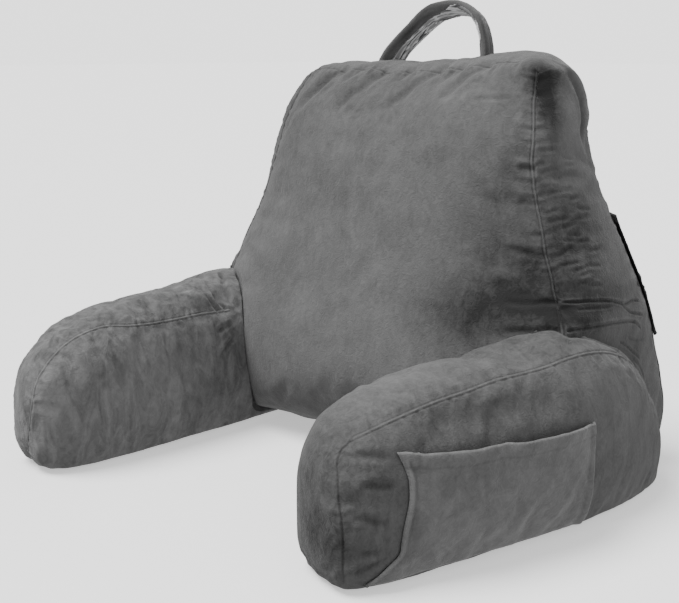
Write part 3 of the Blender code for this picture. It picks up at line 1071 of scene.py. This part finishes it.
@dataclass
class Arm(Body):
    """An arm: two rounded panels with a band between them, one a little shorter than the other.

    Args:
        side: the side that it is on.
        front_end: the Y of the front end, in millimetres.
        front_reach: how far from its front end the shorter arm is set back, in millimetres.
        set_back: how far its front end is set back behind the longer arm's, in millimetres.
        root_swell: how far its top rises where it meets the back cushion.
    """

    side: Side = Side.RIGHT
    front_end: float = -299.0
    front_reach: float = 160.0
    set_back: float = 26.0
    root_swell: float = 10.0 * MM
    voxel: float = 5.5 * MM

    def __post_init__(self) -> None:
        """Lay out the seams of both panels, and the creases of this arm alone."""
        on_left = self.side is Side.LEFT
        if on_left:
            outer = mirrored(self.on_other_arm(OUTER_SEAM, -self.set_back))
            inner = mirrored(INNER_SEAM)
        else:
            outer = OUTER_SEAM
            inner = self.on_other_arm(INNER_SEAM[:6], self.set_back)
        seam = {"half_width": 3.5 * MM, "rise": 1.0 * MM, "open_start": True}
        lapped = {"profile": Profile.LAPPED, "pucker": 1.2 * MM, "shade": 0.04, **seam}
        # Seams are painted darker along their stitches, painted shade, with a painted highlight on the
        # lapped ridge.
        self.add_lines((outer[:14],), open_end=True, **lapped)
        self.add_lines(
            (outer[13:],), profile=Profile.PLAIN, pucker=0.9 * MM, shade=0.14, open_end=True, **seam
        )
        self.add_lines((inner,), open_end=on_left, **lapped)
        if on_left:
            self.crease_left_root()
        else:
            self.crease_right_front()

    def copy_of_node(self) -> Piece:
        """Return a copy of the solid whose top swells against the back cushion.

        Returns:
            The copy.
        """
        piece = super().copy_of_node()
        places = vertices_of(piece)
        centre = (274, 46, 187) if self.side is Side.RIGHT else (-262, 22, 188)
        places[:, 2] += self.root_swell * self.patch(places, centre, (32, 43, 45))
        move_vertices(piece, places)
        return piece

    def on_other_arm(self, points: tuple[Point, ...], shift: float) -> tuple[Point, ...]:
        """Return a seam moved along Y near the front end, where the arms differ in length.

        Args:
            points: the seam's points.
            shift: how far its front end moves.

        Returns:
            The moved points.
        """
        moved = []
        for x, y, z in points:
            share = max(0.0, 1.0 - (y - self.front_end) / self.front_reach)
            moved.append((x, y + shift * share ** 1.5, z))
        return tuple(moved)

    def crease_right_front(self) -> None:
        """Add the wrinkles beside the pocket and behind its mouth, and the patches of painted shade and
        light.
        """
        wrinkles = (
            ((270, -256, 127), (280, -245, 128), (288, -231, 126), (293, -216, 122)),
            ((286, -256, 107), (291, -244, 103), (295, -230, 100), (299, -213, 100)),
            ((285, -262, 76), (291, -250, 74), (294, -238, 69), (297, -222, 67)),
            ((287, -258, 43), (290, -250, 41), (292, -240, 41), (295, -226, 39)),
            ((284, -263, 18), (289, -254, 25), (293, -243, 28), (298, -222, 32)),
        )
        # The wrinkles are painted darker in their troughs: painted shade.
        for wrinkle, shade in zip(wrinkles, (0.06, 0.20, 0.16, 0.16, 0.20)):
            self.add_lines((wrinkle,), half_width=3.6 * MM, rise=1.6 * MM, shade=shade)
        shadow = ((285, -190, 140), (292, -120, 142), (297, -50, 138), (301, 10, 130))
        self.add_lines((shadow,), half_width=14.0 * MM, rise=2.5 * MM, shade=0.0)
        rear = (
            ((272, 20, 190), (282, 58, 190), (286, 94, 179), (292, 128, 158)),
            ((262, 72, 186), (270, 110, 178), (276, 140, 164)),
            ((240, 30, 196), (252, 62, 196), (262, 86, 188)),
        )
        self.add_lines(rear, half_width=3.6 * MM, rise=1.8 * MM, shade=0.10)
        # Painted shade on the arm's front end, its outer panel and its top by the back cushion; painted
        # light where negative.
        patches = (
            ((256, -270, 50), (26, 30, 20), 0.26),
            ((240, -280, 70), (80, 50, 110), 0.20),
            ((222, -275, 70), (35, 45, 90), 0.16),
            ((286, -240, 113), (20, 24, 18), 0.10),
            ((296, -100, 150), (30, 120, 20), 0.08),
            ((305, 80, 110), (30, 60, 50), -0.20),
            ((290, 130, 160), (30, 30, 30), 0.12),
            ((235, -35, 195), (50, 60, 30), 0.25),
            ((265, 50, 190), (45, 45, 30), 0.20),
            ((235, -190, 175), (20, 60, 20), -0.06),
        )
        self.marks = [PaintedShadeAndNapMark(*patch) for patch in patches]

    def crease_left_root(self) -> None:
        """Add the puckers where the arm is drawn in at its root, and the painted shade and light on its
        inner panel.
        """
        puckers = (
            ((-203, -12, 152), (-210, -22, 168), (-224, -26, 181), (-250, -14, 190)),
            ((-207, -6, 160), (-222, -6, 180), (-254, 12, 192)),
            ((-203, -22, 150), (-209, -34, 164), (-219, -40, 176)),
            ((-200, -8, 138), (-197, -26, 136), (-195, -42, 128)),
            ((-198, -6, 122), (-193, -24, 114), (-191, -40, 100)),
        )
        # The puckers are painted darker in their troughs: painted shade.
        self.add_lines(puckers, half_width=3.0 * MM, rise=2.4 * MM, shade=0.14)
        # Painted light over most of the inner panel and painted shade in smaller patches.
        patches = (
            ((-190, -150, 75), (50, 170, 70), -0.32),
            ((-190, -80, 120), (30, 16, 30), 0.14),
            ((-190, -65, 65), (30, 22, 26), 0.12),
            ((-192, -28, 85), (30, 22, 50), 0.14),
            ((-215, -40, 180), (30, 30, 16), 0.12),
            ((-215, -290, 50), (18, 20, 50), 0.10),
            ((-250, -150, 175), (50, 140, 25), 0.10),
        )
        self.marks = [PaintedShadeAndNapMark(*patch) for patch in patches]


@dataclass
class SewnPatch:
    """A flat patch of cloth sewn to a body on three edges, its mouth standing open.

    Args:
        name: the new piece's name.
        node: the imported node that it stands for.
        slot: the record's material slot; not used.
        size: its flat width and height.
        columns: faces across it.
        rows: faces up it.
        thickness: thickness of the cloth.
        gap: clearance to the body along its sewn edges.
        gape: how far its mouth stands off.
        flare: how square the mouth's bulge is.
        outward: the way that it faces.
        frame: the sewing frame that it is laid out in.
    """

    name: str
    node: str
    slot: str
    size: tuple[float, float]
    columns: int = 120
    rows: int = 52
    thickness: float = 2.0 * MM
    gap: float = 0.3 * MM
    gape: float = 20.0 * MM
    flare: float = 4.0
    outward: Vector = field(default_factory=lambda: Vector((1.0, 0.0, 0.0)))
    frame: SewingFrame = field(default_factory=SewingFrame)

    def build(self, body: Piece, finishes: list[Material]) -> Piece:
        """Build the patch over its body and hang it in the frame.

        Args:
            body: the dressed piece that it is sewn to.
            finishes: its cloth, and its binding if it has one.

        Returns:
            The finished piece.
        """
        deselect_all()
        bpy.ops.mesh.primitive_grid_add(
            x_subdivisions=self.columns, y_subdivisions=self.rows, size=1.0, location=(0.0, 0.0, 0.0)
        )
        piece = bpy.context.active_object
        piece.name = self.name
        flat = vertices_of(piece)
        share = flat[:, 0] + 0.5
        level = flat[:, 1] + 0.5
        surface = BVHTree.FromObject(body, bpy.context.evaluated_depsgraph_get())
        lift = self.gap + self.lift(share, level)
        places = np.empty_like(flat)
        for index, start in enumerate(self.frame.place(self.spots(share, level))):
            hit = surface.ray_cast(Vector(start) + self.outward, -self.outward)[0]
            places[index] = hit + self.outward * lift[index]
        move_vertices(piece, self.soften(places))
        # Store the painted shade and highlights along the patch's edges, hem and mouth, for the material to
        # read.
        store(piece, "nap_and_painted_shade", self.shade(share, level))
        for corner in piece.data.uv_layers.active.data:
            corner.uv = (corner.uv[0] * self.size[0], corner.uv[1] * self.size[1])
        for finish in finishes:
            piece.data.materials.append(finish)
        self.mark_binding(piece, flat)
        apply_modifier(piece, "SOLIDIFY", thickness=self.thickness, offset=1.0)
        piece.data.shade_smooth()
        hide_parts(self.node)
        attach(piece, ROOT)
        LOG.info("%s: %d faces", self.name, len(piece.data.polygons))
        return piece

    def soften(self, places: np.ndarray) -> np.ndarray:
        """Take the body's fine wrinkles out of the patch, which is stretched over them.

        Args:
            places: the vertices, one row each.

        Returns:
            Their new places.
        """
        net = places.reshape(self.rows + 1, self.columns + 1, 3)
        outward = np.array(self.outward)
        for _ in range(6):
            inner = net[1:-1, 1:-1]
            around = net[:-2, 1:-1] + net[2:, 1:-1] + net[1:-1, :-2] + net[1:-1, 2:]
            along = (0.125 * around - 0.5 * inner) @ outward
            net[1:-1, 1:-1] = inner + np.maximum(along, 0.0)[:, :, None] * outward
            ends = net[1:-1, [0, -1]]
            along = (0.5 * (net[:-2, [0, -1]] + net[2:, [0, -1]]) - ends) @ outward
            net[1:-1, [0, -1]] = ends + 0.5 * np.maximum(along, 0.0)[:, :, None] * outward
        return net.reshape(-1, 3)

    def spots(self, share: np.ndarray, level: np.ndarray) -> np.ndarray:
        """Return where each vertex lies before it is laid on the body, in the sewing frame."""
        raise NotImplementedError

    def lift(self, share: np.ndarray, level: np.ndarray) -> np.ndarray:
        """Return how far the cloth stands off the body."""
        return self.gape * (1.0 - np.abs(2.0 * share - 1.0) ** self.flare) * level ** 1.4

    def shade(self, share: np.ndarray, level: np.ndarray) -> np.ndarray:
        """Return the painted shade: how much darker the cloth is coloured."""
        return np.zeros(len(share))

    def mark_binding(self, piece: Piece, flat: np.ndarray) -> None:
        """Give the faces along the mouth the binding's material, where there is a binding."""


@dataclass
class ArmPocket(SewnPatch):
    """The side pocket: plush, with a rolled front edge, a hemmed mouth and a double-stitched rear edge.

    Args:
        foot: height of its lower edge.
        top_front: height of its mouth at the front.
        top_rear: height of its mouth at the rear.
        hem: width of the hem along its mouth.
        edge_levels: shares of its height at which its two ends are given.
        front_edge: the Y of its front edge at those levels.
        rear_edge: the Y of its rear edge at those levels.
        tab_lift: how far the bar tack at the front of the mouth stands up.
        front_heights: the rolled front edge, as bands.
        rear_heights: the rear edge's swell and its two rows of stitches, as bands.
        front_shades: painted shade beside the front edge and a painted highlight on its roll, as bands.
        rear_shades: painted shade along the stitches of the rear edge, as bands.
    """

    foot: float = 0.008
    top_front: float = 0.127
    top_rear: float = 0.116
    hem: float = 13.0 * MM
    edge_levels: tuple[float, ...] = (0.00, 0.11, 0.21, 0.31, 0.45, 0.66, 0.87, 1.00)
    front_edge: tuple[float, ...] = (-0.245, -0.231, -0.215, -0.212, -0.210, -0.206, -0.208, -0.214)
    rear_edge: tuple[float, ...] = (0.028, 0.028, 0.027, 0.027, 0.026, 0.026, 0.025, 0.024)
    tab_lift: float = 2.2 * MM
    front_heights: Bands = ((2.8, 1.8, 1.6), (-1.0, 8.0, 3.0))
    rear_heights: Bands = ((4.5, 4.0, 5.0), (-0.5, 3.5, 1.4), (-0.5, 9.5, 1.4))
    front_shades: Bands = ((0.24, 5.2, 2.0), (-0.22, 1.6, 1.3))
    rear_shades: Bands = ((0.10, 3.5, 1.3), (0.10, 9.5, 1.3))

    def edges(self, level: np.ndarray) -> tuple[np.ndarray, np.ndarray]:
        """Return the Y of the front and the rear edge at each level.

        Args:
            level: its place up the cloth, from 0 to 1.

        Returns:
            One Y of each edge for each vertex.
        """
        ends = (self.front_edge, self.rear_edge)
        curves = [smooth_path(np.column_stack((self.edge_levels, end)), 0.02) for end in ends]
        return tuple(np.interp(level, curve[:, 0], curve[:, 1]) for curve in curves)

    def spots(self, share: np.ndarray, level: np.ndarray) -> np.ndarray:
        """Return where each vertex lies before it is laid on the arm, in the sewing frame.

        Args:
            share: each vertex's place across the cloth, from 0 to 1.
            level: its place up the cloth, from 0 to 1.

        Returns:
            The places in metres, one row each.
        """
        front, rear = self.edges(level)
        top = self.top_front + (self.top_rear - self.top_front) * share
        top = top + 2.5 * MM * bell(share * self.size[0] - 6.0 * MM, 9.0 * MM)
        top = top + 1.5 * MM * ripple(share * self.size[0], 110.0 * MM, 2.0) * np.sin(math.pi * share)
        height = self.foot + (top - self.foot) * level
        return np.column_stack((np.zeros(len(share)), front + (rear - front) * share, height))

    def lift(self, share: np.ndarray, level: np.ndarray) -> np.ndarray:
        """Return how far the cloth stands off the arm.

        Args:
            share: each vertex's place across the cloth, from 0 to 1.
            level: its place up the cloth, from 0 to 1.

        Returns:
            One distance for each vertex.
        """
        from_front, from_rear, from_mouth = self.distances(share, level)
        tab = np.clip(self.tab_depth(from_front, from_mouth) / (1.5 * MM), 0.0, 1.0)
        lift = super().lift(share, level) + self.tab_lift * tab
        lift = lift + MM * bands(from_front, self.front_heights) * (1.0 - tab)
        lift = lift + MM * bands(from_rear, self.rear_heights)
        in_hem = 1.0 / (1.0 + np.exp((from_mouth - self.hem) / (0.8 * MM)))
        lift = lift + 1.0 * MM * in_hem - 0.8 * MM * bell(from_mouth - self.hem - 1.0 * MM, 1.2 * MM)
        lift = lift - 1.0 * MM * bell(from_mouth, 1.6 * MM)
        sag = np.sin(math.pi * share) * np.sin(math.pi * np.clip(level, 0.0, 1.0))
        fold = ripple(from_front + 0.6 * from_mouth, 52.0 * MM, 0.7)
        fold = fold + 0.6 * ripple(from_front - from_mouth, 31.0 * MM, 2.0)
        return lift + 2.0 * MM * sag + 1.2 * MM * fold * (0.25 + sag)

    def distances(self, share: np.ndarray, level: np.ndarray) -> tuple[np.ndarray, np.ndarray, np.ndarray]:
        """Return how far each vertex is from the front edge, the rear edge and the mouth."""
        return share * self.size[0], (1.0 - share) * self.size[0], (1.0 - level) * self.size[1]

    def tab_depth(self, from_front: np.ndarray, from_mouth: np.ndarray) -> np.ndarray:
        """Return how far inside the three-cornered bar tack at the front of the mouth each vertex lies."""
        return 8.0 * MM * (1.0 - from_mouth / (18.0 * MM)) - np.abs(from_front - 8.0 * MM)

    def shade(self, share: np.ndarray, level: np.ndarray) -> np.ndarray:
        """Return the painted shade: how much darker the cloth is coloured.

        Args:
            share: each vertex's place across the cloth, from 0 to 1.
            level: its place up the cloth, from 0 to 1.

        Returns:
            One shade for each vertex.
        """
        from_front, from_rear, from_mouth = self.distances(share, level)
        tab_depth = self.tab_depth(from_front, from_mouth)
        tab = np.clip(tab_depth / (1.5 * MM), 0.0, 1.0)
        # Painted shade beside the rolled front edge, in the stitches, the hem's groove and the hollow below
        # the mouth; painted highlight on the roll.
        shade = bands(from_front, self.front_shades) * (1.0 - tab) + bands(from_rear, self.rear_shades)
        shade = shade - 0.10 * tab * bell(from_mouth, 4.0 * MM) + 0.14 * bell(tab_depth, 1.2 * MM)
        shade = shade + 0.12 * bell(from_mouth - self.hem - 1.0 * MM, 1.3 * MM)
        shade = shade + 0.10 * bell(from_front - 13.0 * MM, 12.0 * MM) * bell(level - 0.25, 0.25)
        hollow = bell(from_mouth - 25.0 * MM, 18.0 * MM) * bell(from_front - 60.0 * MM, 40.0 * MM)
        shade = shade + 0.08 * hollow
        tack = np.maximum(np.abs(from_rear - 7.0 * MM), np.abs(from_mouth - 7.0 * MM)) - 5.5 * MM
        shade = shade + 0.16 * bell(tack, 1.0 * MM) - 0.08 * (tack < -1.0 * MM)
        # The whole pocket is painted lighter: painted light.
        return shade - 0.24


@dataclass
class BackPocket(SewnPatch):
    """The back pocket: black mesh held in both side seams and along its foot, bound along its mouth.

    Args:
        foot: height of its lower edge.
        top: height of its mouth.
        inset: how far its ends stay inside the rear seams.
        binding: width of the binding along its mouth.
        heights: heights at which its half width is given.
        half_widths: its half width at those heights.
    """

    foot: float = 0.152
    top: float = 0.292
    inset: float = 0.5 * MM
    binding: float = 10.0 * MM
    heights: tuple[float, ...] = (0.150, 0.200, 0.250, 0.300)
    half_widths: tuple[float, ...] = (0.236, 0.226, 0.214, 0.203)

    def spots(self, share: np.ndarray, level: np.ndarray) -> np.ndarray:
        """Return where each vertex lies before it is laid on the back, in the sewing frame.

        Args:
            share: each vertex's place across the cloth, from 0 to 1.
            level: its place up the cloth, from 0 to 1.

        Returns:
            The places in metres, one row each.
        """
        height = self.foot + (self.top - self.foot) * level
        half_width = np.interp(height, self.heights, self.half_widths) - self.inset
        return np.column_stack((half_width * (1.0 - 2.0 * share), np.zeros(len(share)), height))

    def lift(self, share: np.ndarray, level: np.ndarray) -> np.ndarray:
        """Return how far the cloth stands off the back.

        Args:
            share: each vertex's place across the cloth, from 0 to 1.
            level: its place up the cloth, from 0 to 1.

        Returns:
            One distance for each vertex.
        """
        from_mouth = (1.0 - level) * self.size[1]
        bound = 1.0 / (1.0 + np.exp((from_mouth - self.binding) / (0.5 * MM)))
        slack = 1.0 * MM * ripple(share * self.size[0], 120.0 * MM, 1.0) * level * np.sin(math.pi * share)
        from_end = np.minimum(share, 1.0 - share) * self.size[0]
        edge = (2.0 + 2.2 * level) * MM * bell(from_end - 2.0 * MM, 5.0 * MM)
        return super().lift(share, level) + 0.9 * MM * bound + slack + edge

    def soften(self, places: np.ndarray) -> np.ndarray:
        """Take out the back's fine wrinkles, and let both sewn ends run in an even curve.

        Args:
            places: the vertices, one row each.

        Returns:
            Their new places.
        """
        net = super().soften(places).reshape(self.rows + 1, self.columns + 1, 3)
        level = np.linspace(0.0, 1.0, self.rows + 1)
        for end, step in ((0, 1), (-1, -1)):
            even = np.polyval(np.polyfit(level, net[:, end, 1], 3), level) + 1.4 * MM
            shift = even - net[:, end, 1]
            for count in range(8):
                net[:, end + step * count, 1] += shift * (1.0 - count / 8.0) ** 2
        return net.reshape(-1, 3)

    def mark_binding(self, piece: Piece, flat: np.ndarray) -> None:
        """Give the faces along the mouth the binding's material.

        Args:
            piece: the object.
            flat: its vertices before they were laid on the back.
        """
        limit = 0.5 - self.binding / self.size[1]
        for face in piece.data.polygons:
            if min(flat[index, 1] for index in face.vertices) >= limit:
                face.material_index = 1


@dataclass
class Handle(Body):
    """The carry handle: a padded strap, plush outside and lined with wrinkled satin on its inner side.

    Args:
        loop_centre: a point inside its loop, which its inner side faces, in millimetres.
        plumpness: how far the plush stands out from the solid.
        flare: how far the loop widens towards the front, as a slope.
        wrinkle: height of the lining's wrinkles.
        droop: how far the loop sinks under its own weight.
        foot_drop: how far its feet sink into the crest.
        foot_height: height over which they do.
        spread: how far its right side moves outwards.
        lean: how far the top of its left side moves inwards.
        lean_start: how far the foot of its left side moves outwards.
    """

    voxel: float = 2.0 * MM
    fill: float = 0.5
    loop_centre: Point = (0, 144, 462)
    plumpness: float = 1.2 * MM
    flare: float = 0.45
    wrinkle: float = 1.2 * MM
    droop: float = 3.5 * MM
    foot_drop: float = 9.0 * MM
    foot_height: float = 14.0 * MM
    spread: float = 6.0 * MM
    lean: float = 16.0 * MM
    lean_start: float = 9.0 * MM

    def build(self, finishes: list[Material]) -> Piece:
        """Build the handle and hang it in the frame.

        Args:
            finishes: its plush and its lining.

        Returns:
            The finished piece.
        """
        piece = self.copy_of_node()
        places = vertices_of(piece)
        foot = np.clip((places[:, 2] - places[:, 2].min()) / self.foot_height, 0.0, 1.0)
        places[:, 2] -= self.foot_drop * (1.0 - foot)
        move_vertices(piece, places)
        apply_modifier(piece, "SMOOTH", factor=0.5, iterations=3)
        apply_modifier(piece, "SUBSURF", levels=1, render_levels=1)
        places = vertices_of(piece) + normals_of(piece) * self.plumpness
        move_vertices(piece, places)
        centre = self.frame.place_mm(self.loop_centre)
        inward = centre - places
        inward[:, 1] = 0.0
        inward /= np.linalg.norm(inward, axis=1, keepdims=True)
        facing = (normals_of(piece) * inward).sum(axis=1)
        inner = np.clip(facing * 2.5 - 1.2, 0.0, 1.0)
        across = places[:, 1] - centre[1]
        risen = np.clip((places[:, 2] - centre[2] + 6.0 * MM) / (12.0 * MM), 0.0, 1.0)
        right = np.clip((-0.1 - inward[:, 0]) / 0.4, 0.0, 1.0)
        right *= np.clip((places[:, 2] - centre[2] - 18.0 * MM) / (14.0 * MM), 0.0, 1.0)
        places = places + inward * (across * self.flare * risen)[:, None]
        places[:, 2] -= self.droop * risen
        beside = (places[:, 0] - centre[0]) / (32.0 * MM)
        height = np.clip((places[:, 2] - centre[2]) / (45.0 * MM), 0.0, 1.0)
        places[:, 0] += self.spread * np.clip(beside, 0.0, 1.0)
        places[:, 0] += (self.lean * height - self.lean_start) * np.clip(-beside, 0.0, 1.0)
        move_vertices(piece, places)
        turn = np.arctan2(inward[:, 2], inward[:, 0])
        unrolled = np.column_stack((turn * 8.0 * MM, across * 1.4, np.zeros(len(places))))
        folds = lumps(unrolled, 4.0 * MM)
        # The lining's folds rise where this is high; it also paints highlights on them and shade in the
        # creases.
        creased = bell(folds, 0.10) - 0.8 * bell(folds - 0.3, 0.12)
        lined = np.clip((across + (5.5 + 14.0 * right + 1.5 * folds) * MM) / (1.0 * MM), 0.0, 1.0)
        outer = lumps(np.column_stack((turn * 10.0 * MM, across * 1.5, np.zeros(len(places)))), 5.0 * MM)
        height = self.wrinkle * inner * creased * lined + 0.6 * MM * outer * (1.0 - inner)
        height = height + inner * (1.6 * MM * bell(across + 9.0 * MM, 4.0 * MM) - 1.2 * MM * lined)
        move_vertices(piece, places + normals_of(piece) * height[:, None])
        # Painted highlights on the lining's folds and painted shade in its creases.
        store(piece, "fold", np.clip(0.34 + 1.1 * creased, 0.0, 1.0))
        # The plush outside is painted darker all over, and lighter where its wrinkles rise: painted shade
        # and highlights.
        store(piece, "nap_and_painted_shade", 0.10 - 0.30 * outer)
        finish_piece(piece, finishes)
        is_lining = (facing > 0.6 - 0.5 * right) & (lined > 0.5)
        for face in piece.data.polygons:
            if is_lining[list(face.vertices)].all():
                face.material_index = 1
        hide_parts(self.node)
        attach(piece, ROOT)
        LOG.info("%s: %d faces", self.name, len(piece.data.polygons))
        return piece


@dataclass(frozen=True)
class Studio:
    """White studio: floor, soft lights and the camera at the photograph's place.

    Args:
        focal_pixels: the camera's focal length in pixels of a picture as wide as picture_width.
        picture_width: width of the photograph in pixels.
        pitch: how far the camera looks down, in degrees.
        azimuth: how far it is turned from +Y towards -X, in degrees.
        position: where it stands in the sewing frame, in metres.
        main_direction: the way from the pillow to the main light.
        main_strength: the main light's strength in watts a square metre.
        main_width: how wide the main light looks, in degrees.
        surround_light: how strongly the white surround lights the set.
        surround_seen: how bright it looks.
        floor_size: side of the floor in metres.
        floor_glow: how strongly the floor shines by itself, as a white ground does.
    """

    focal_pixels: float = 1300.0
    picture_width: float = 679.0
    pitch: float = 11.1
    azimuth: float = 47.4
    position: Point = (1.070, -0.9965, 0.480)
    main_direction: Point = (-0.27, -0.35, 0.90)
    main_strength: float = 4.4
    main_width: float = 35.0
    surround_light: float = 0.55
    surround_seen: float = 2.1
    floor_size: float = 60.0
    floor_glow: float = 0.6

    def build(self) -> None:
        """Build the floor, the lights and the camera."""
        self.floor()
        self.camera()
        aim = Vector((0.0, 0.0, 0.2))
        self.overhead_light()
        self.softbox("side_fill", Vector((2.6, -1.3, 0.9)), aim, 1.6, 16.0)
        self.surround()

    def overhead_light(self) -> None:
        """Hang the wide main light above the front left."""
        data = bpy.data.lights.new("main_light", "SUN")
        data.energy = self.main_strength
        data.angle = math.radians(self.main_width)
        light = bpy.data.objects.new("main_light", data)
        bpy.context.scene.collection.objects.link(light)
        light.rotation_euler = (-Vector(self.main_direction)).to_track_quat("-Z", "Y").to_euler()

    def surround(self) -> None:
        """Surround the set with even white, brighter to the eye than it lights."""
        world = bpy.data.worlds.new("white_studio")
        world.use_nodes = True
        tree = world.node_tree
        background = tree.nodes["Background"]
        background.inputs["Color"].default_value = (1.0, 1.0, 1.0, 1.0)
        seen = add_node(tree, "ShaderNodeLightPath", {}, {}).outputs["Is Camera Ray"]
        limits = {"To Min": self.surround_light, "To Max": self.surround_seen}
        strength = add_node(tree, "ShaderNodeMapRange", limits, {"Value": seen})
        tree.links.new(strength.outputs["Result"], background.inputs["Strength"])
        bpy.context.scene.world = world

    def floor(self) -> None:
        """Lay the pale floor."""
        deselect_all()
        bpy.ops.mesh.primitive_plane_add(size=self.floor_size, location=(0.0, 0.0, 0.0))
        floor = bpy.context.active_object
        floor.name = "studio_floor"
        material = bpy.data.materials.new("white_floor")
        material.use_nodes = True
        shader = material.node_tree.nodes["Principled BSDF"]
        shader.inputs["Base Color"].default_value = linear("#f4f4f4")
        shader.inputs["Roughness"].default_value = 0.9
        shader.inputs["Emission Color"].default_value = (1.0, 1.0, 1.0, 1.0)
        shader.inputs["Emission Strength"].default_value = self.floor_glow
        floor.data.materials.append(material)
        floor.visible_diffuse = False
        floor.visible_glossy = False

    def camera(self) -> None:
        """Stand the camera at the photograph's place."""
        pitch = math.radians(self.pitch)
        azimuth = math.radians(self.azimuth)
        right = Vector((math.cos(azimuth), math.sin(azimuth), 0.0))
        ahead = Vector((-math.sin(azimuth), math.cos(azimuth), 0.0))
        rise = Vector((0.0, 0.0, 1.0))
        view = ahead * math.cos(pitch) - rise * math.sin(pitch)
        up = ahead * math.sin(pitch) + rise * math.cos(pitch)
        data = bpy.data.cameras.new("photo_camera")
        data.sensor_width = 36.0
        data.lens = self.focal_pixels / self.picture_width * data.sensor_width
        camera = bpy.data.objects.new("photo_camera", data)
        bpy.context.scene.collection.objects.link(camera)
        turn = Matrix((right, up, -view)).transposed().to_4x4()
        camera.matrix_world = Matrix.Translation(Vector(self.position) + SewingFrame().origin()) @ turn
        bpy.context.scene.camera = camera

    def softbox(self, name: str, place: Vector, aim: Vector, size: float, power: float) -> None:
        """Hang a square softbox.

        Args:
            name: its name.
            place: where it hangs.
            aim: the point that it faces.
            size: its side in metres.
            power: its power in watts.
        """
        data = bpy.data.lights.new(name, "AREA")
        data.size = size
        data.energy = power
        light = bpy.data.objects.new(name, data)
        bpy.context.scene.collection.objects.link(light)
        light.location = place
        light.rotation_euler = (aim - place).to_track_quat("-Z", "Y").to_euler()


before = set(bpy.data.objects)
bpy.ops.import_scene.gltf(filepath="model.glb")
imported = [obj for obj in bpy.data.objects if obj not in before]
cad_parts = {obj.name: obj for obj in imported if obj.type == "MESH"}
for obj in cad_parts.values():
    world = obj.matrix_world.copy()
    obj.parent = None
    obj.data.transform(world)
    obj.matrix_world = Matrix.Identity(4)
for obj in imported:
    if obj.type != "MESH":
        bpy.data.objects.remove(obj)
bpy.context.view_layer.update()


def main() -> None:
    """Build every piece in order and report each."""
    logging.basicConfig(level=logging.INFO, format="%(message)s")
    Studio().build()
    # The plush copies' lightest colours are set apart to match how bright each piece looks under the
    # lights: painted light and shade.
    back_finish = Plush("back_plush", light="#828282", sheen=0.22).build()
    right_finish = Plush(
        "right_arm_plush", light="#7e7e7e", cloud_size=45.0 * MM,
        streak_share=0.22, mottle_share=0.20, sheen=0.15,
    ).build()
    left_finish = Plush(
        "left_arm_plush", light="#868686", cloud_size=45.0 * MM,
        streak_size=21.0 * MM, streak_stretch=(1.0, 1.0, 0.4), streak_share=0.58,
        mottle_size=10.0 * MM, mottle_share=0.24, sheen=0.2,
    ).build()
    pocket_finish = Plush(
        "pocket_plush", streak_size=18.0 * MM, streak_stretch=(1.0, 0.8, 0.6),
        streak_share=0.3, mottle_share=0.26,
    ).build()
    handle_finish = Plush("handle_plush", cloud_share=0.05, streak_share=0.05, mottle_size=4.0 * MM).build()
    lining_finish = Satin("handle_lining").build()
    binding_finish = Plush("binding_plush", dark="#202021", light="#4a4a4b").build()
    mesh_finish = MeshCloth("black_mesh").build()
    back = BackCushion("back_cushion", "backrest").build(back_finish)
    right_arm = Arm("right_arm", "arm_right", side=Side.RIGHT).build(right_finish)
    Arm("left_arm", "arm_left", side=Side.LEFT).build(left_finish)
    Handle("carry_handle", "handle").build([handle_finish, lining_finish])
    ArmPocket("side_pocket", "arm_pocket", "plush", (0.27, 0.12)).build(right_arm, [pocket_finish])
    BackPocket(
        "rear_pocket", "back_pocket", "mesh_cloth", (0.45, 0.155),
        gape=16.0 * MM, flare=8.0, outward=Vector((0.0, 1.0, 0.0)), columns=160, rows=48,
    ).build(back, [mesh_finish, binding_finish])


if __name__ == "__main__":
    main()
